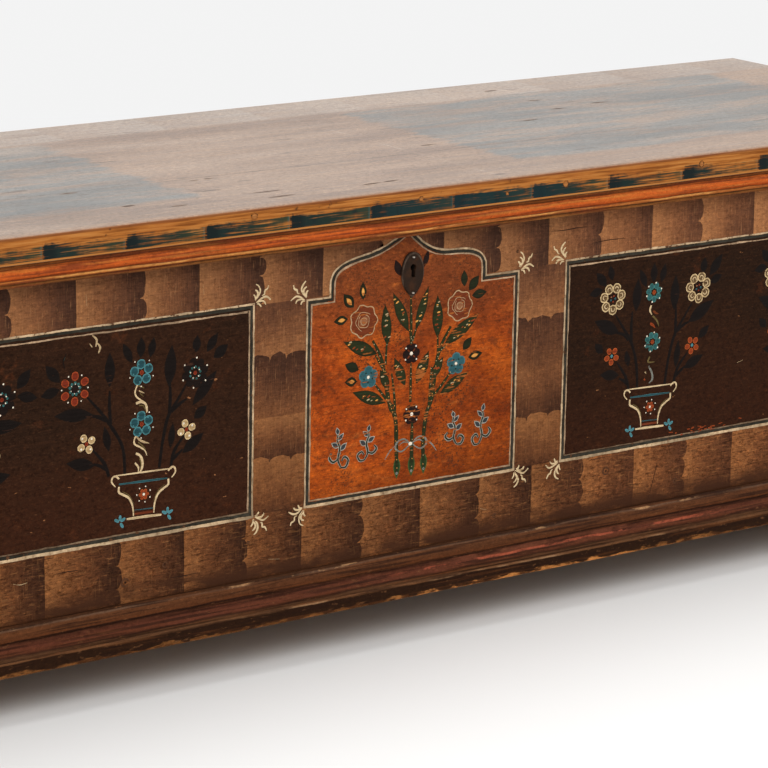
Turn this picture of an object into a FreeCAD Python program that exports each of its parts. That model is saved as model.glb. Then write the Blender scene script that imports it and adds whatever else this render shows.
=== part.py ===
import FreeCAD, Part
import math
import os

os.makedirs("parts", exist_ok=True)
vec = FreeCAD.Vector

# All sizes are in millimetres. X runs along the bench, the painted front faces -Y, Z is up,
# and the floor is at Z = 0 under the middle of the whole object.

# Carcase
body_length = 1636.0         # over the outer faces of the end boards
body_depth = 467.0           # over the outer faces of the front and back boards
board_thickness = 24.0       # front, back and end boards
wall_height = 392.0          # from the bottom planks to the rim
back_joint_height = 190.0    # joint between the two back boards, above the bottom planks
bottom_thickness = 20.0      # bottom planks
front_tails = 4              # dovetails at each end of the front board
back_tails = 2               # dovetails at each end of each back board
tail_share = 0.6             # part of the dovetail pitch that is tail, at its root
tail_slope = 1.0 / 7.0       # flare of a dovetail per unit of its length

# Skids under the bottom
foot_height = 52.0
skid_width = 70.0
skid_inset = 95.0            # from the end of the body to the skid
skid_setback = 12.0          # from the front and back faces to the skid's ends
skid_chamfer = 22.0          # slope under each end of a skid

# Base moulding: a slope, a quirk, a cove, a ledge and a plain fascia, from the top down
base_height = 44.0
base_top_width = 4.0
base_slope_run = 7.0
base_slope_swell = 0.6        # how far along the slope its slight swell stands
base_quirk = 1.6
base_cove_run = 8.4
base_cove_height = 14.0
base_ledge = 5.0
base_fascia_height = 14.0
base_arris = 2.0             # worn corner between ledge and fascia

# Lid
lid_thickness = 28.0
lid_overhang = 28.0          # past the front board and past each end board
lid_gap = 0.3                # between the rim and the underside of the lid
lid_front_plank_width = 162.0
lid_arris = 3.0              # worn rounding of the top edges
lid_lower_arris = 1.5        # worn rounding of the lower front edge

# Moulding under the lid's edge: a hollow, an ovolo, a bead and a small fillet
lip_height = 23.5
lip_setback = 3.5            # from the lid's edge to the moulding's furthest reach
lip_clearance = 1.5          # between the moulding and the carcase
lip_hollow_height = 5.0
lip_hollow_depth = 3.0
lip_ovolo_height = 10.0
lip_quirk = 1.5
lip_bead_radius = 2.2
lip_fillet_setback = 2.6

# Battens let into the underside of the lid on sliding dovetails
batten_inset = 120.0         # from the inside of an end board to the batten
batten_width = 52.0
batten_drop = 22.0           # below the lid
batten_tongue = 9.0          # depth of the dovetailed tongue in the lid
batten_neck_width = 34.0     # width of the tongue where it enters the lid
batten_clearance = 12.0      # between the batten's ends and the boards

# Strap hinges
hinge_inset = 330.0          # from the end of the body to the middle of a hinge
hinge_plate = 3.0            # thickness of strap and leaf
hinge_width = 30.0           # width at the knuckles
strap_length = 300.0
strap_tip_width = 20.0
leaf_length = 150.0
leaf_tip_width = 18.0
tip_length = 18.0            # pointed end of strap and leaf
knuckle_radius = 6.5
knuckle_middle = 11.2        # width of the strap's knuckle
knuckle_gap = 0.4            # between neighbouring knuckles
knuckle_stand = 0.5          # between the knuckles and the back board
hinge_pin_radius = 3.0
hinge_pin_fit = 0.06         # radial running clearance
hinge_pin_head_radius = 4.4
hinge_pin_head = 1.6
strap_nails = 4
leaf_nails = 3

# Forged nails
nail_shank = 3.0
nail_head = 8.0
nail_crown = 3.0             # flat on top of the faceted head
nail_head_height = 2.2
strap_nail_length = 19.0
leaf_nail_length = 20.0
lock_nail_length = 17.0
escutcheon_nail_length = 12.0
escutcheon_nail_head = 3.8
bottom_nail_length = 60.0
bottom_nails_long = 5        # along the front, and along the back
bottom_nail_spacing = 250.0

# Keyhole and escutcheon
key_offset = -3.0            # from the middle of the front board
key_drop = 61.3              # from the rim to the middle of the keyhole's round end
keyhole_radius = 3.7
keyhole_slot_width = 4.8
keyhole_slot_drop = 10.5
escutcheon_width = 28.6
escutcheon_height = 48.5
escutcheon_shoulder_width = 19.8  # where the sides run into the round top
escutcheon_shoulder_drop = 5.5  # from the top of the plate to those shoulders
escutcheon_thickness = 2.4
escutcheon_bevel = 1.0
escutcheon_drop = 7.8        # from the keyhole's round end down to the plate's middle
escutcheon_nail_inset = 5.2  # from each end

# Chest lock on the inside of the front board
lock_plate_length = 150.0
lock_plate_height = 96.0
lock_plate_thickness = 3.0
lock_plate_rise = 40.0       # from the keyhole up to the top of the plate
lock_nail_inset = 10.0
bolt_length = 82.0
bolt_height = 16.0
bolt_thickness = 8.0
bolt_rise = 20.0             # from the keyhole to the middle of the bolt
bolt_back_reach = 46.0       # from the keyhole to the bolt's tail
bolt_fit = 0.15              # between the bolt and its guides, all round
bolt_engagement = 5.0        # how far the thrown bolt passes the staple
bolt_tip_gap = 3.0           # between the withdrawn bolt and the staple
talon_width = 12.0           # notch that the key's bit works in
talon_depth = 5.0
guide_width = 8.0
guide_wall = 4.0
guide_nose_inset = 12.0      # from the bolt's tip to the second guide
cap_width = 46.0
cap_height = 34.0
cap_thickness = 2.5
cap_rise = 8.0               # from the keyhole up to the top of the cap
post_radius = 3.5
post_inset = 6.0
spring_thickness = 1.4
spring_rise = 7.0            # bow of the leaf spring above the bolt
spring_gap = 0.2             # between the spring and the bolt

# Staple under the lid, which the bolt passes through
staple_thickness = 6.0
staple_wall = 4.0
staple_eye_gap = 1.5         # between the eye and the bolt
staple_stand = 2.6           # between the staple and the lock plate
staple_plate_length = 56.0
staple_plate_width = 26.0
staple_plate_thickness = 3.0
staple_nail_inset = 9.0
staple_nail_length = 18.0

# Places that follow from the sizes above
arc_dip = 1.0 - math.sqrt(0.5)  # middle of a quarter round, as a share of its radius
knuckle_reach = knuckle_stand + 2.0 * knuckle_radius
y_front = (lid_overhang - knuckle_reach - body_depth) / 2.0
y_back = y_front + body_depth
x_right = body_length / 2.0
x_left = -x_right
x_inner = x_right - board_thickness
y_front_inner = y_front + board_thickness
y_back_inner = y_back - board_thickness
z_bottom = foot_height
z_walls = z_bottom + bottom_thickness
z_rim = z_walls + wall_height
z_lid = z_rim + lid_gap
z_top = z_lid + lid_thickness
y_lid_front = y_front - lid_overhang
x_lid = x_right + lid_overhang
y_lid_joint = y_lid_front + lid_front_plank_width
y_pin = y_back + knuckle_stand + knuckle_radius
z_pin = z_lid + hinge_plate - knuckle_radius
hinge_places = {"left": x_left + hinge_inset, "right": x_right - hinge_inset}
x_key = key_offset
z_key = z_rim - key_drop
y_plate_inner = y_front_inner + lock_plate_thickness
y_staple = y_plate_inner + staple_stand
staple_depth = bolt_thickness + 2.0 * (staple_eye_gap + staple_wall)
y_bolt = y_staple + staple_wall + staple_eye_gap
z_bolt = z_key + bolt_rise - bolt_height / 2.0
x_bolt_tail = x_key - bolt_back_reach
x_bolt_tip = x_bolt_tail + bolt_length
x_staple = x_bolt_tip + bolt_tip_gap
bolt_throw = bolt_tip_gap + staple_thickness + bolt_engagement
bolt_side = {"low": z_bolt, "high": z_bolt + bolt_height, "front": y_bolt, "back": y_bolt + bolt_thickness}
outside = {"front": vec(0, -1, 0), "left": vec(-1, 0, 0), "right": vec(1, 0, 0)}


def block(x0, x1, y0, y1, z0, z1):
    """A box between two corners."""
    return Part.makeBox(x1 - x0, y1 - y0, z1 - z0, vec(x0, y0, z0))


def prism(points, sweep):
    """A straight-sided outline pushed along a direction."""
    return Part.Face(Part.makePolygon(points + points[:1])).extrude(sweep)


def save(node, shape):
    shape.exportStep("parts/" + node + ".step")


def group(solids):
    return Part.makeCompound(solids)


# Forged nails: a square shank under a faceted head, made upright and turned to face outwards.
def square(size, z):
    half = size / 2.0
    corners = [vec(-half, -half, z), vec(half, -half, z), vec(half, half, z), vec(-half, half, z)]
    return Part.makePolygon(corners + corners[:1])


def turned(shape, place, outward):
    placed = shape.copy()
    placed.Placement = FreeCAD.Placement(place, FreeCAD.Rotation(vec(0, 0, 1), outward))
    return placed


def nail_shaft(place, outward, length):
    half = nail_shank / 2.0
    return turned(block(-half, half, -half, half, -length, 0.0), place, outward)


def nail(place, outward, length, head=nail_head):
    crown = nail_crown * head / nail_head
    cap = Part.makeLoft([square(head, 0.0), square(crown, nail_head_height)], True)
    return turned(cap, place, outward).fuse(nail_shaft(place, outward, length)).removeSplitter()


def driven(shape, places, outward, length):
    """The piece with a square hole for each nail that is driven into it."""
    return shape.cut(group([nail_shaft(place, outward, length) for place in places]))


# Dovetailed corners: the tails stand on the ends of the front and back boards.
def tails(y0, z0, height, count):
    """The tails of one board, at both of its ends."""
    pitch = height / count
    root = pitch * tail_share / 2.0
    flared = root + board_thickness * tail_slope
    made = []
    for number in range(count):
        middle = z0 + pitch * (number + 0.5)
        for side in (-1, 1):
            outline = [
                vec(side * x_inner, y0, middle - root),
                vec(side * x_right, y0, middle - flared),
                vec(side * x_right, y0, middle + flared),
                vec(side * x_inner, y0, middle + root),
            ]
            made.append(prism(outline, vec(0, board_thickness, 0)))
    return made


def tailed_board(y0, z0, height, count):
    plain = block(-x_inner, x_inner, y0, y0 + board_thickness, z0, z0 + height)
    return plain.fuse(tails(y0, z0, height, count)).removeSplitter()


def end_board(side):
    outer = side * x_right
    inner = side * x_inner
    low_x = min(outer, inner)
    plain = block(low_x, low_x + board_thickness, y_front, y_back, z_walls, z_rim)
    upper_height = wall_height - back_joint_height
    sockets = tails(y_front, z_walls, wall_height, front_tails)
    sockets += tails(y_back_inner, z_walls, back_joint_height, back_tails)
    sockets += tails(y_back_inner, z_walls + back_joint_height, upper_height, back_tails)
    return plain.cut(sockets)


# Keyhole: a round end above a straight slot, cut along Y.
def keyhole(y0, y1):
    round_end = Part.makeCylinder(keyhole_radius, y1 - y0, vec(x_key, y0, z_key), vec(0, 1, 0))
    half = keyhole_slot_width / 2.0
    slot = block(x_key - half, x_key + half, y0, y1, z_key - keyhole_slot_drop, z_key)
    return round_end.fuse(slot)


def bottom_nail_places():
    """Heads under the bottom planks, along the front and back boards and at the ends."""
    reach = bottom_nail_spacing * (bottom_nails_long - 1) / 2.0
    rows = [y_front + board_thickness / 2.0, y_back - board_thickness / 2.0]
    places = []
    for row in rows:
        for number in range(bottom_nails_long):
            places.append(vec(number * bottom_nail_spacing - reach, row, z_bottom))
    quarter = body_depth / 4.0
    for side in (-1, 1):
        for row in (y_front + quarter, y_back - quarter):
            places.append(vec(side * (x_right - board_thickness / 2.0), row, z_bottom))
    return places


def escutcheon_nail_places():
    reach = escutcheon_height / 2.0 - escutcheon_nail_inset
    middle = z_key - escutcheon_drop
    face = y_front - escutcheon_thickness
    return [vec(x_key, face, middle + reach), vec(x_key, face, middle - reach)]


def lock_nail_places():
    across = lock_plate_length / 2.0 - lock_nail_inset
    high = z_key + lock_plate_rise - lock_nail_inset
    low = z_key + lock_plate_rise - lock_plate_height + lock_nail_inset
    return [vec(x_key + side * across, y_plate_inner, z) for side in (-1, 1) for z in (low, high)]


def leaf_nail_places(x_mid):
    first = leaf_length / (leaf_nails + 1.0)
    face = y_back + hinge_plate
    return [vec(x_mid, face, z_pin - first * (number + 1)) for number in range(leaf_nails)]


def strap_nail_places(x_mid):
    start = y_back_inner - nail_head
    step = (strap_length - board_thickness - tip_length - nail_head) / strap_nails
    return [vec(x_mid, start - step * (number + 0.5), z_lid) for number in range(strap_nails)]


def staple_nail_places():
    middle = x_staple + staple_thickness / 2.0
    across = staple_plate_length / 2.0 - staple_nail_inset
    y_mid = y_staple + staple_depth / 2.0
    return [vec(middle + side * across, y_mid, z_lid - staple_plate_thickness) for side in (-1, 1)]


down = vec(0, 0, -1)
inwards = vec(0, 1, 0)
forwards = vec(0, -1, 0)
backwards = vec(0, 1, 0)


# Carcase boards
front_board = tailed_board(y_front, z_walls, wall_height, front_tails)
front_board = front_board.cut(keyhole(y_front, y_front_inner))
front_board = driven(front_board, bottom_nail_places(), down, bottom_nail_length)
front_board = driven(front_board, lock_nail_places(), inwards, lock_nail_length)
front_board = driven(front_board, escutcheon_nail_places(), forwards, escutcheon_nail_length)
save("front_board", front_board)

back_lower = tailed_board(y_back_inner, z_walls, back_joint_height, back_tails)
back_lower = driven(back_lower, bottom_nail_places(), down, bottom_nail_length)
back_upper_height = wall_height - back_joint_height
back_upper = tailed_board(y_back_inner, z_walls + back_joint_height, back_upper_height, back_tails)
for x_hinge in hinge_places.values():
    back_lower = driven(back_lower, leaf_nail_places(x_hinge), backwards, leaf_nail_length)
    back_upper = driven(back_upper, leaf_nail_places(x_hinge), backwards, leaf_nail_length)
save("back_lower_board", back_lower)
save("back_upper_board", back_upper)

for name, side in (("left", -1), ("right", 1)):
    board = driven(end_board(side), bottom_nail_places(), down, bottom_nail_length)
    save(name + "_end_board", board)

# Bottom planks, nailed up under the boards
y_middle = (y_front + y_back) / 2.0
for name, y0, y1 in (("front", y_front, y_middle), ("back", y_middle, y_back)):
    plank = block(x_left, x_right, y0, y1, z_bottom, z_walls)
    save("bottom_" + name + "_plank", driven(plank, bottom_nail_places(), down, bottom_nail_length))
save("bottom_nails", group([nail(place, down, bottom_nail_length) for place in bottom_nail_places()]))


# Skids: bars across the underside, sloped up under their ends
def skid(side):
    y0 = y_front + skid_setback
    y1 = y_back - skid_setback
    x0 = side * (x_right - skid_inset - skid_width / 2.0) - skid_width / 2.0
    rise = foot_height / 2.0
    outline = [
        vec(x0, y0 + skid_chamfer, 0.0),
        vec(x0, y1 - skid_chamfer, 0.0),
        vec(x0, y1, rise),
        vec(x0, y1, z_bottom),
        vec(x0, y0, z_bottom),
        vec(x0, y0, rise),
    ]
    return prism(outline, vec(skid_width, 0, 0))


save("left_skid", skid(-1))
save("right_skid", skid(1))


# Mouldings: a profile of (reach, height) points, with a middle point where a run is an arc
def profile_face(start, runs, origin, outward):
    def place(point):
        return origin + outward * point[0] + vec(0, 0, point[1])

    edges = []
    here = start
    for run in runs:
        if len(run) == 2:
            edges.append(Part.Arc(place(here), place(run[0]), place(run[1])).toShape())
        else:
            edges.append(Part.LineSegment(place(here), place(run[0])).toShape())
        here = run[-1]
    edges.append(Part.LineSegment(place(here), place(start)).toShape())
    return Part.Face(Part.Wire(edges))


def corner_wedge(side, reach, z0, z1, for_front):
    """The part of a corner square that lies past the mitre of the front or of the end piece."""
    corner = vec(side * x_right, y_front, z0)
    far = vec(side * (x_right + reach), y_front - reach, z0)
    if for_front:
        third = vec(far.x, corner.y, z0)
    else:
        third = vec(corner.x, far.y, z0)
    return prism([corner, far, third], vec(0, 0, z1 - z0))


def moulding(which, start, runs, reach, z0, z1):
    """One length of moulding, mitred where the front meets the ends."""
    if which == "front":
        origin = vec(x_left - reach, y_front, 0)
        sweep = vec(body_length + 2.0 * reach, 0, 0)
        stick = profile_face(start, runs, origin, outside[which]).extrude(sweep)
        return stick.cut([corner_wedge(side, reach, z0, z1, True) for side in (-1, 1)])
    side = outside[which].x
    origin = vec(side * x_right, y_front - reach, 0)
    stick = profile_face(start, runs, origin, outside[which]).extrude(vec(0, body_depth + reach, 0))
    return stick.cut(corner_wedge(side, reach, z0, z1, False))


# Base moulding
base_top = z_bottom + base_height
slope_foot = base_top_width + base_slope_run
cove_top_reach = slope_foot + base_quirk
cove_foot_reach = cove_top_reach + base_cove_run
base_reach = cove_foot_reach + base_ledge
ledge_z = z_bottom + base_fascia_height + base_arris
cove_top_z = ledge_z + base_cove_height
arris_dip = base_arris * arc_dip
slope_middle = (
    base_top_width + base_slope_run * base_slope_swell,
    cove_top_z + (base_top - cove_top_z) * base_slope_swell,
)
base_runs = [
    [(base_top_width, base_top)],
    [slope_middle, (slope_foot, cove_top_z)],
    [(cove_top_reach, cove_top_z)],
    [
        (cove_top_reach + base_cove_run * arc_dip, ledge_z + base_cove_height * arc_dip),
        (cove_foot_reach, ledge_z),
    ],
    [(base_reach - base_arris, ledge_z)],
    [(base_reach - arris_dip, ledge_z - arris_dip), (base_reach, ledge_z - base_arris)],
    [(base_reach, z_bottom)],
    [(0.0, z_bottom)],
]
for which in ("front", "left", "right"):
    stick = moulding(which, (0.0, base_top), base_runs, base_reach, z_bottom, base_top)
    save("base_moulding_" + which, stick)

# Moulding under the lid's edge
lip_reach = lid_overhang - lip_setback
lip_low = z_lid - lip_height
hollow_z = z_lid - lip_hollow_height
ovolo_z = hollow_z - lip_ovolo_height
bead_reach = lip_reach - lip_bead_radius
bead_low = ovolo_z - 2.0 * lip_bead_radius
hollow_reach = lip_reach - lip_hollow_depth
lip_runs = [
    [(lip_reach, z_lid)],
    [
        (hollow_reach + lip_hollow_depth * arc_dip, z_lid - lip_hollow_height * arc_dip),
        (hollow_reach, hollow_z),
    ],
    [(lip_reach, (hollow_z + ovolo_z) / 2.0), (bead_reach + lip_quirk / 2.0, ovolo_z)],
    [(bead_reach, ovolo_z)],
    [(lip_reach, ovolo_z - lip_bead_radius), (bead_reach, bead_low)],
    [(lip_reach - lip_fillet_setback - lip_quirk, bead_low)],
    [(lip_reach - lip_fillet_setback - lip_quirk, lip_low)],
    [(lip_clearance, lip_low)],
]
for which in ("front", "left", "right"):
    stick = moulding(which, (lip_clearance, z_lid), lip_runs, lip_reach, lip_low, z_lid)
    save("lid_moulding_" + which, stick)


# Battens: a dovetailed tongue open at the lid's back edge, over a bar that fits inside the chest
def batten(side):
    middle = side * (x_inner - batten_inset - batten_width / 2.0)
    half = batten_width / 2.0
    neck = batten_neck_width / 2.0
    flared = neck + batten_tongue * tail_slope
    y0 = y_front_inner + batten_clearance
    y1 = y_back_inner - batten_clearance
    bar = block(middle - half, middle + half, y0, y1, z_lid - batten_drop, z_lid)
    outline = [
        vec(middle - neck, y0, z_lid),
        vec(middle + neck, y0, z_lid),
        vec(middle + flared, y0, z_lid + batten_tongue),
        vec(middle - flared, y0, z_lid + batten_tongue),
    ]
    return bar.fuse(prism(outline, vec(0, y_back - y0, 0))).removeSplitter()


battens = {"left": batten(-1), "right": batten(1)}
for name, shape in battens.items():
    save("lid_batten_" + name, shape)


# Strap hinges: a strap let into the lid and a leaf on the back board, on one pin
def knuckle(x0, x1):
    return Part.makeCylinder(knuckle_radius, x1 - x0, vec(x0, y_pin, z_pin), vec(1, 0, 0))


def pin_bore(x_mid):
    start = vec(x_mid - hinge_width / 2.0, y_pin, z_pin)
    return Part.makeCylinder(hinge_pin_radius + hinge_pin_fit, hinge_width, start, vec(1, 0, 0))


def hinge_strap(x_mid):
    neck = knuckle_middle / 2.0
    wide = hinge_width / 2.0
    tip = strap_tip_width / 2.0
    shoulder = y_back - hinge_plate
    end = y_back - strap_length
    outline = [
        (neck, y_pin),
        (neck, shoulder),
        (wide, shoulder),
        (tip, end + tip_length),
        (0.0, end),
    ]
    mirrored = [(-x, y) for x, y in reversed(outline[:-1])]
    points = [vec(x_mid + x, y, z_lid) for x, y in outline + mirrored]
    plate = prism(points, vec(0, 0, hinge_plate))
    strap = plate.fuse(knuckle(x_mid - neck, x_mid + neck)).cut(pin_bore(x_mid)).removeSplitter()
    return driven(strap, strap_nail_places(x_mid), down, strap_nail_length)


def hinge_leaf(x_mid):
    wide = hinge_width / 2.0
    tip = leaf_tip_width / 2.0
    end = z_pin - leaf_length
    outline = [(wide, z_pin), (tip, end + tip_length), (0.0, end), (-tip, end + tip_length), (-wide, z_pin)]
    plate = prism([vec(x_mid + x, y_back, z) for x, z in outline], vec(0, hinge_plate, 0))
    leaf = plate.fuse(knuckle(x_mid - wide, x_mid + wide)).cut(pin_bore(x_mid))
    half = knuckle_middle / 2.0 + knuckle_gap
    low = z_pin - knuckle_radius - knuckle_gap
    far = y_pin + knuckle_radius
    notch = block(x_mid - half, x_mid + half, y_back, far, low, z_pin + knuckle_radius)
    return driven(leaf.cut(notch), leaf_nail_places(x_mid), backwards, leaf_nail_length)


def hinge_pin(x_mid):
    half = hinge_width / 2.0
    along = vec(1, 0, 0)
    start = vec(x_mid - half, y_pin, z_pin)
    shaft = Part.makeCylinder(hinge_pin_radius, hinge_width, start, along)
    heads = [
        Part.makeCylinder(hinge_pin_head_radius, hinge_pin_head, start - along * hinge_pin_head, along),
        Part.makeCylinder(hinge_pin_head_radius, hinge_pin_head, start + along * hinge_width, along),
    ]
    return shaft.fuse(heads).removeSplitter()


straps = {}
for name, x_hinge in hinge_places.items():
    straps[name] = hinge_strap(x_hinge)
    save("hinge_strap_" + name, straps[name])
    save("hinge_leaf_" + name, hinge_leaf(x_hinge))
    save("hinge_pin_" + name, hinge_pin(x_hinge))
save("strap_nails", group([
    nail(place, down, strap_nail_length)
    for x_hinge in hinge_places.values()
    for place in strap_nail_places(x_hinge)
]))
save("leaf_nails", group([
    nail(place, backwards, leaf_nail_length)
    for x_hinge in hinge_places.values()
    for place in leaf_nail_places(x_hinge)
]))


# Lid planks, with their worn edges, the seats of the battens and straps, and the nail holes
def rounded(shape, radius, wanted):
    return shape.makeFillet(radius, [edge for edge in shape.Edges if wanted(edge.CenterOfMass)])


def on_top_border(point):
    at_end = abs(abs(point.x) - x_lid) < lid_arris
    at_front = abs(point.y - y_lid_front) < lid_arris
    return abs(point.z - z_top) < lid_arris and (at_end or at_front)


def on_lower_border(point):
    return abs(point.z - z_lid) < lid_lower_arris and abs(point.y - y_lid_front) < lid_lower_arris


def lid_plank(y0, y1):
    plank = rounded(block(-x_lid, x_lid, y0, y1, z_lid, z_top), lid_arris, on_top_border)
    if y0 == y_lid_front:
        plank = rounded(plank, lid_lower_arris, on_lower_border)
    plank = plank.cut(list(battens.values()) + list(straps.values()))
    for x_hinge in hinge_places.values():
        plank = driven(plank, strap_nail_places(x_hinge), down, strap_nail_length)
    return driven(plank, staple_nail_places(), down, staple_nail_length)


save("lid_front_plank", lid_plank(y_lid_front, y_lid_joint))
save("lid_back_plank", lid_plank(y_lid_joint, y_back))


# Escutcheon: an oval plate, round above and pointed below, with a bevelled border and a keyhole
def oval(inset, y):
    """The plate's outline, drawn in by an inset, as a closed wire."""
    def place(across, up):
        return vec(x_key + across, y, z_key - escutcheon_drop + up)

    half_height = escutcheon_height / 2.0 - inset
    half_width = escutcheon_width / 2.0 - inset
    shoulder = escutcheon_shoulder_width / 2.0 - inset / 2.0
    shoulder_up = half_height - escutcheon_shoulder_drop
    foot = place(0, -half_height)
    right = place(shoulder, shoulder_up)
    left = place(-shoulder, shoulder_up)
    return Part.Wire([
        Part.Arc(foot, place(half_width, 0), right).toShape(),
        Part.Arc(right, place(0, half_height), left).toShape(),
        Part.Arc(left, place(-half_width, 0), foot).toShape(),
    ])


y_escutcheon = y_front - escutcheon_thickness
y_bevel = y_escutcheon + escutcheon_bevel
escutcheon = Part.Face(oval(0.0, y_front)).extrude(vec(0, y_bevel - y_front, 0))
bevel = Part.makeLoft([oval(0.0, y_bevel), oval(escutcheon_bevel, y_escutcheon)], True, True)
escutcheon = escutcheon.fuse(bevel).cut(keyhole(y_escutcheon, y_front))
save("escutcheon", driven(escutcheon, escutcheon_nail_places(), forwards, escutcheon_nail_length))
save("escutcheon_nails", group([
    nail(place, forwards, escutcheon_nail_length, escutcheon_nail_head) for place in escutcheon_nail_places()
]))

# Lock plate
plate_top = z_key + lock_plate_rise
lock_plate = block(
    x_key - lock_plate_length / 2.0, x_key + lock_plate_length / 2.0,
    y_front_inner, y_plate_inner,
    plate_top - lock_plate_height, plate_top,
)
lock_plate = lock_plate.cut(keyhole(y_front_inner, y_plate_inner))
save("lock_plate", driven(lock_plate, lock_nail_places(), inwards, lock_nail_length))
save("lock_nails", group([nail(place, inwards, lock_nail_length) for place in lock_nail_places()]))


# Bolt and the two guides that it slides in
def bolt_box(x0, x1, margin):
    return block(
        x0, x1,
        bolt_side["front"] - margin, bolt_side["back"] + margin,
        bolt_side["low"] - margin, bolt_side["high"] + margin,
    )


bolt = bolt_box(x_bolt_tail, x_bolt_tip, 0.0)
talon_half = talon_width / 2.0
talon = block(
    x_key - talon_half, x_key + talon_half,
    bolt_side["front"], bolt_side["back"],
    bolt_side["low"], bolt_side["low"] + talon_depth,
)
save("lock_bolt", bolt.cut(talon))


def bolt_guide(x0):
    outer = block(
        x0, x0 + guide_width,
        y_plate_inner, bolt_side["back"] + guide_wall,
        bolt_side["low"] - guide_wall, bolt_side["high"] + guide_wall,
    )
    return outer.cut(bolt_box(x0, x0 + guide_width, bolt_fit))


x_tail_guide = x_bolt_tail + bolt_throw
x_nose_guide = x_bolt_tip - guide_nose_inset - guide_width
save("bolt_guide_tail", bolt_guide(x_tail_guide))
save("bolt_guide_nose", bolt_guide(x_nose_guide))

# Leaf spring, bowed between the guides, its edge on the lock plate and its ends on the guides
spring_low = bolt_side["high"] + spring_gap
spring_end = spring_low + spring_rise
x_spring_start = x_tail_guide + guide_width
x_spring_middle = (x_spring_start + x_nose_guide) / 2.0
spring_lower = Part.Arc(
    vec(x_spring_start, y_plate_inner, spring_end),
    vec(x_spring_middle, y_plate_inner, spring_low),
    vec(x_nose_guide, y_plate_inner, spring_end),
).toShape()
spring_upper = Part.Arc(
    vec(x_nose_guide, y_plate_inner, spring_end + spring_thickness),
    vec(x_spring_middle, y_plate_inner, spring_low + spring_thickness),
    vec(x_spring_start, y_plate_inner, spring_end + spring_thickness),
).toShape()
spring_ends = [
    Part.makeLine(spring_lower.Vertexes[-1].Point, spring_upper.Vertexes[0].Point),
    Part.makeLine(spring_upper.Vertexes[-1].Point, spring_lower.Vertexes[0].Point),
]
spring_wire = Part.Wire([spring_lower, spring_ends[0], spring_upper, spring_ends[1]])
spring_sweep = vec(0, bolt_side["back"] - y_plate_inner, 0)
save("lock_spring", Part.Face(spring_wire).extrude(spring_sweep))

# Cap over the key's path, on posts riveted to the lock plate
cap_top = z_key + cap_rise
cap_front = bolt_side["back"] + guide_wall
cap = block(
    x_key - cap_width / 2.0, x_key + cap_width / 2.0,
    cap_front, cap_front + cap_thickness,
    cap_top - cap_height, cap_top,
)
save("lock_cap", cap)
post_across = cap_width / 2.0 - post_inset
post_zs = (cap_top - post_inset, cap_top - cap_height + post_inset)
post_feet = [vec(x_key + side * post_across, y_plate_inner, z) for side in (-1, 1) for z in post_zs]
post_length = cap_front - y_plate_inner
posts = [Part.makeCylinder(post_radius, post_length, foot, inwards) for foot in post_feet]
save("lock_cap_posts", group(posts))

# Staple under the lid: a plate, and a hanging loop with a round foot
staple_low = bolt_side["low"] - staple_eye_gap - staple_wall
y_staple_middle = y_staple + staple_depth / 2.0
z_staple_plate = z_lid - staple_plate_thickness
x_staple_end = x_staple + staple_thickness
foot_radius = staple_depth / 2.0
z_foot = staple_low + foot_radius
loop = block(x_staple, x_staple_end, y_staple, y_staple + staple_depth, z_foot, z_staple_plate)
foot_centre = vec(x_staple, y_staple_middle, z_foot)
loop = loop.fuse(Part.makeCylinder(foot_radius, staple_thickness, foot_centre, vec(1, 0, 0)))
eye = bolt_box(x_staple, x_staple_end, staple_eye_gap)
x_staple_middle = x_staple + staple_thickness / 2.0
staple_plate = block(
    x_staple_middle - staple_plate_length / 2.0, x_staple_middle + staple_plate_length / 2.0,
    y_staple_middle - staple_plate_width / 2.0, y_staple_middle + staple_plate_width / 2.0,
    z_staple_plate, z_lid,
)
staple = loop.cut(eye).fuse(staple_plate).removeSplitter()
save("lid_staple", driven(staple, staple_nail_places(), down, staple_nail_length))
save("staple_nails", group([nail(place, down, staple_nail_length) for place in staple_nail_places()]))
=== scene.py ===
import math
import random
import bpy
from mathutils import Matrix, Vector, noise as hills


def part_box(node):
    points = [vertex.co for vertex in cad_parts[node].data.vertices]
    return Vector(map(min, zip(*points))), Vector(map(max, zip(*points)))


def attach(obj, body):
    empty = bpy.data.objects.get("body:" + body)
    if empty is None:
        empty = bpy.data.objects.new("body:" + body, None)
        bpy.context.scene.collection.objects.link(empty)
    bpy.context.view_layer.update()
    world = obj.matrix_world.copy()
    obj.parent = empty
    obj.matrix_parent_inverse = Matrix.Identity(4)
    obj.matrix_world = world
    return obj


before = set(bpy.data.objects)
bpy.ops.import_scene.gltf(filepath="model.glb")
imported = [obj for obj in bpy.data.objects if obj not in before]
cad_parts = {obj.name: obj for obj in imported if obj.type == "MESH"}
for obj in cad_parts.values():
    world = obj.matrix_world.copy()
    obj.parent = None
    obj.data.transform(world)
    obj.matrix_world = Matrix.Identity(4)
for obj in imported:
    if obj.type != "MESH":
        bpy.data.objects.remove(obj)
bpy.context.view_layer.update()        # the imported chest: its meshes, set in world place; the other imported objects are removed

mm = 0.001
boardLow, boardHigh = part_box("front_board")
baseLow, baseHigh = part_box("base_moulding_front")
lidLow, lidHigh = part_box("lid_front_plank")
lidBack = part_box("lid_back_plank")[1].y
lipLow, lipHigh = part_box("lid_moulding_front")
frontY = boardLow.y      # painted face of the front board
footZ = baseLow.z        # heights of the painting are measured from the foot of the base moulding
print("frame loaded, front face at y", round(frontY, 4))


# node trees: the output of a new node, each of its inputs set to a wire or to a plain value
def wire(value, socket):
    if isinstance(value, bpy.types.NodeSocket):
        socket.id_data.links.new(value, socket)
    elif socket.type == "RGBA" and len(value) == 3:
        socket.default_value = (*value, 1.0)
    else:
        socket.default_value = value


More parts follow.
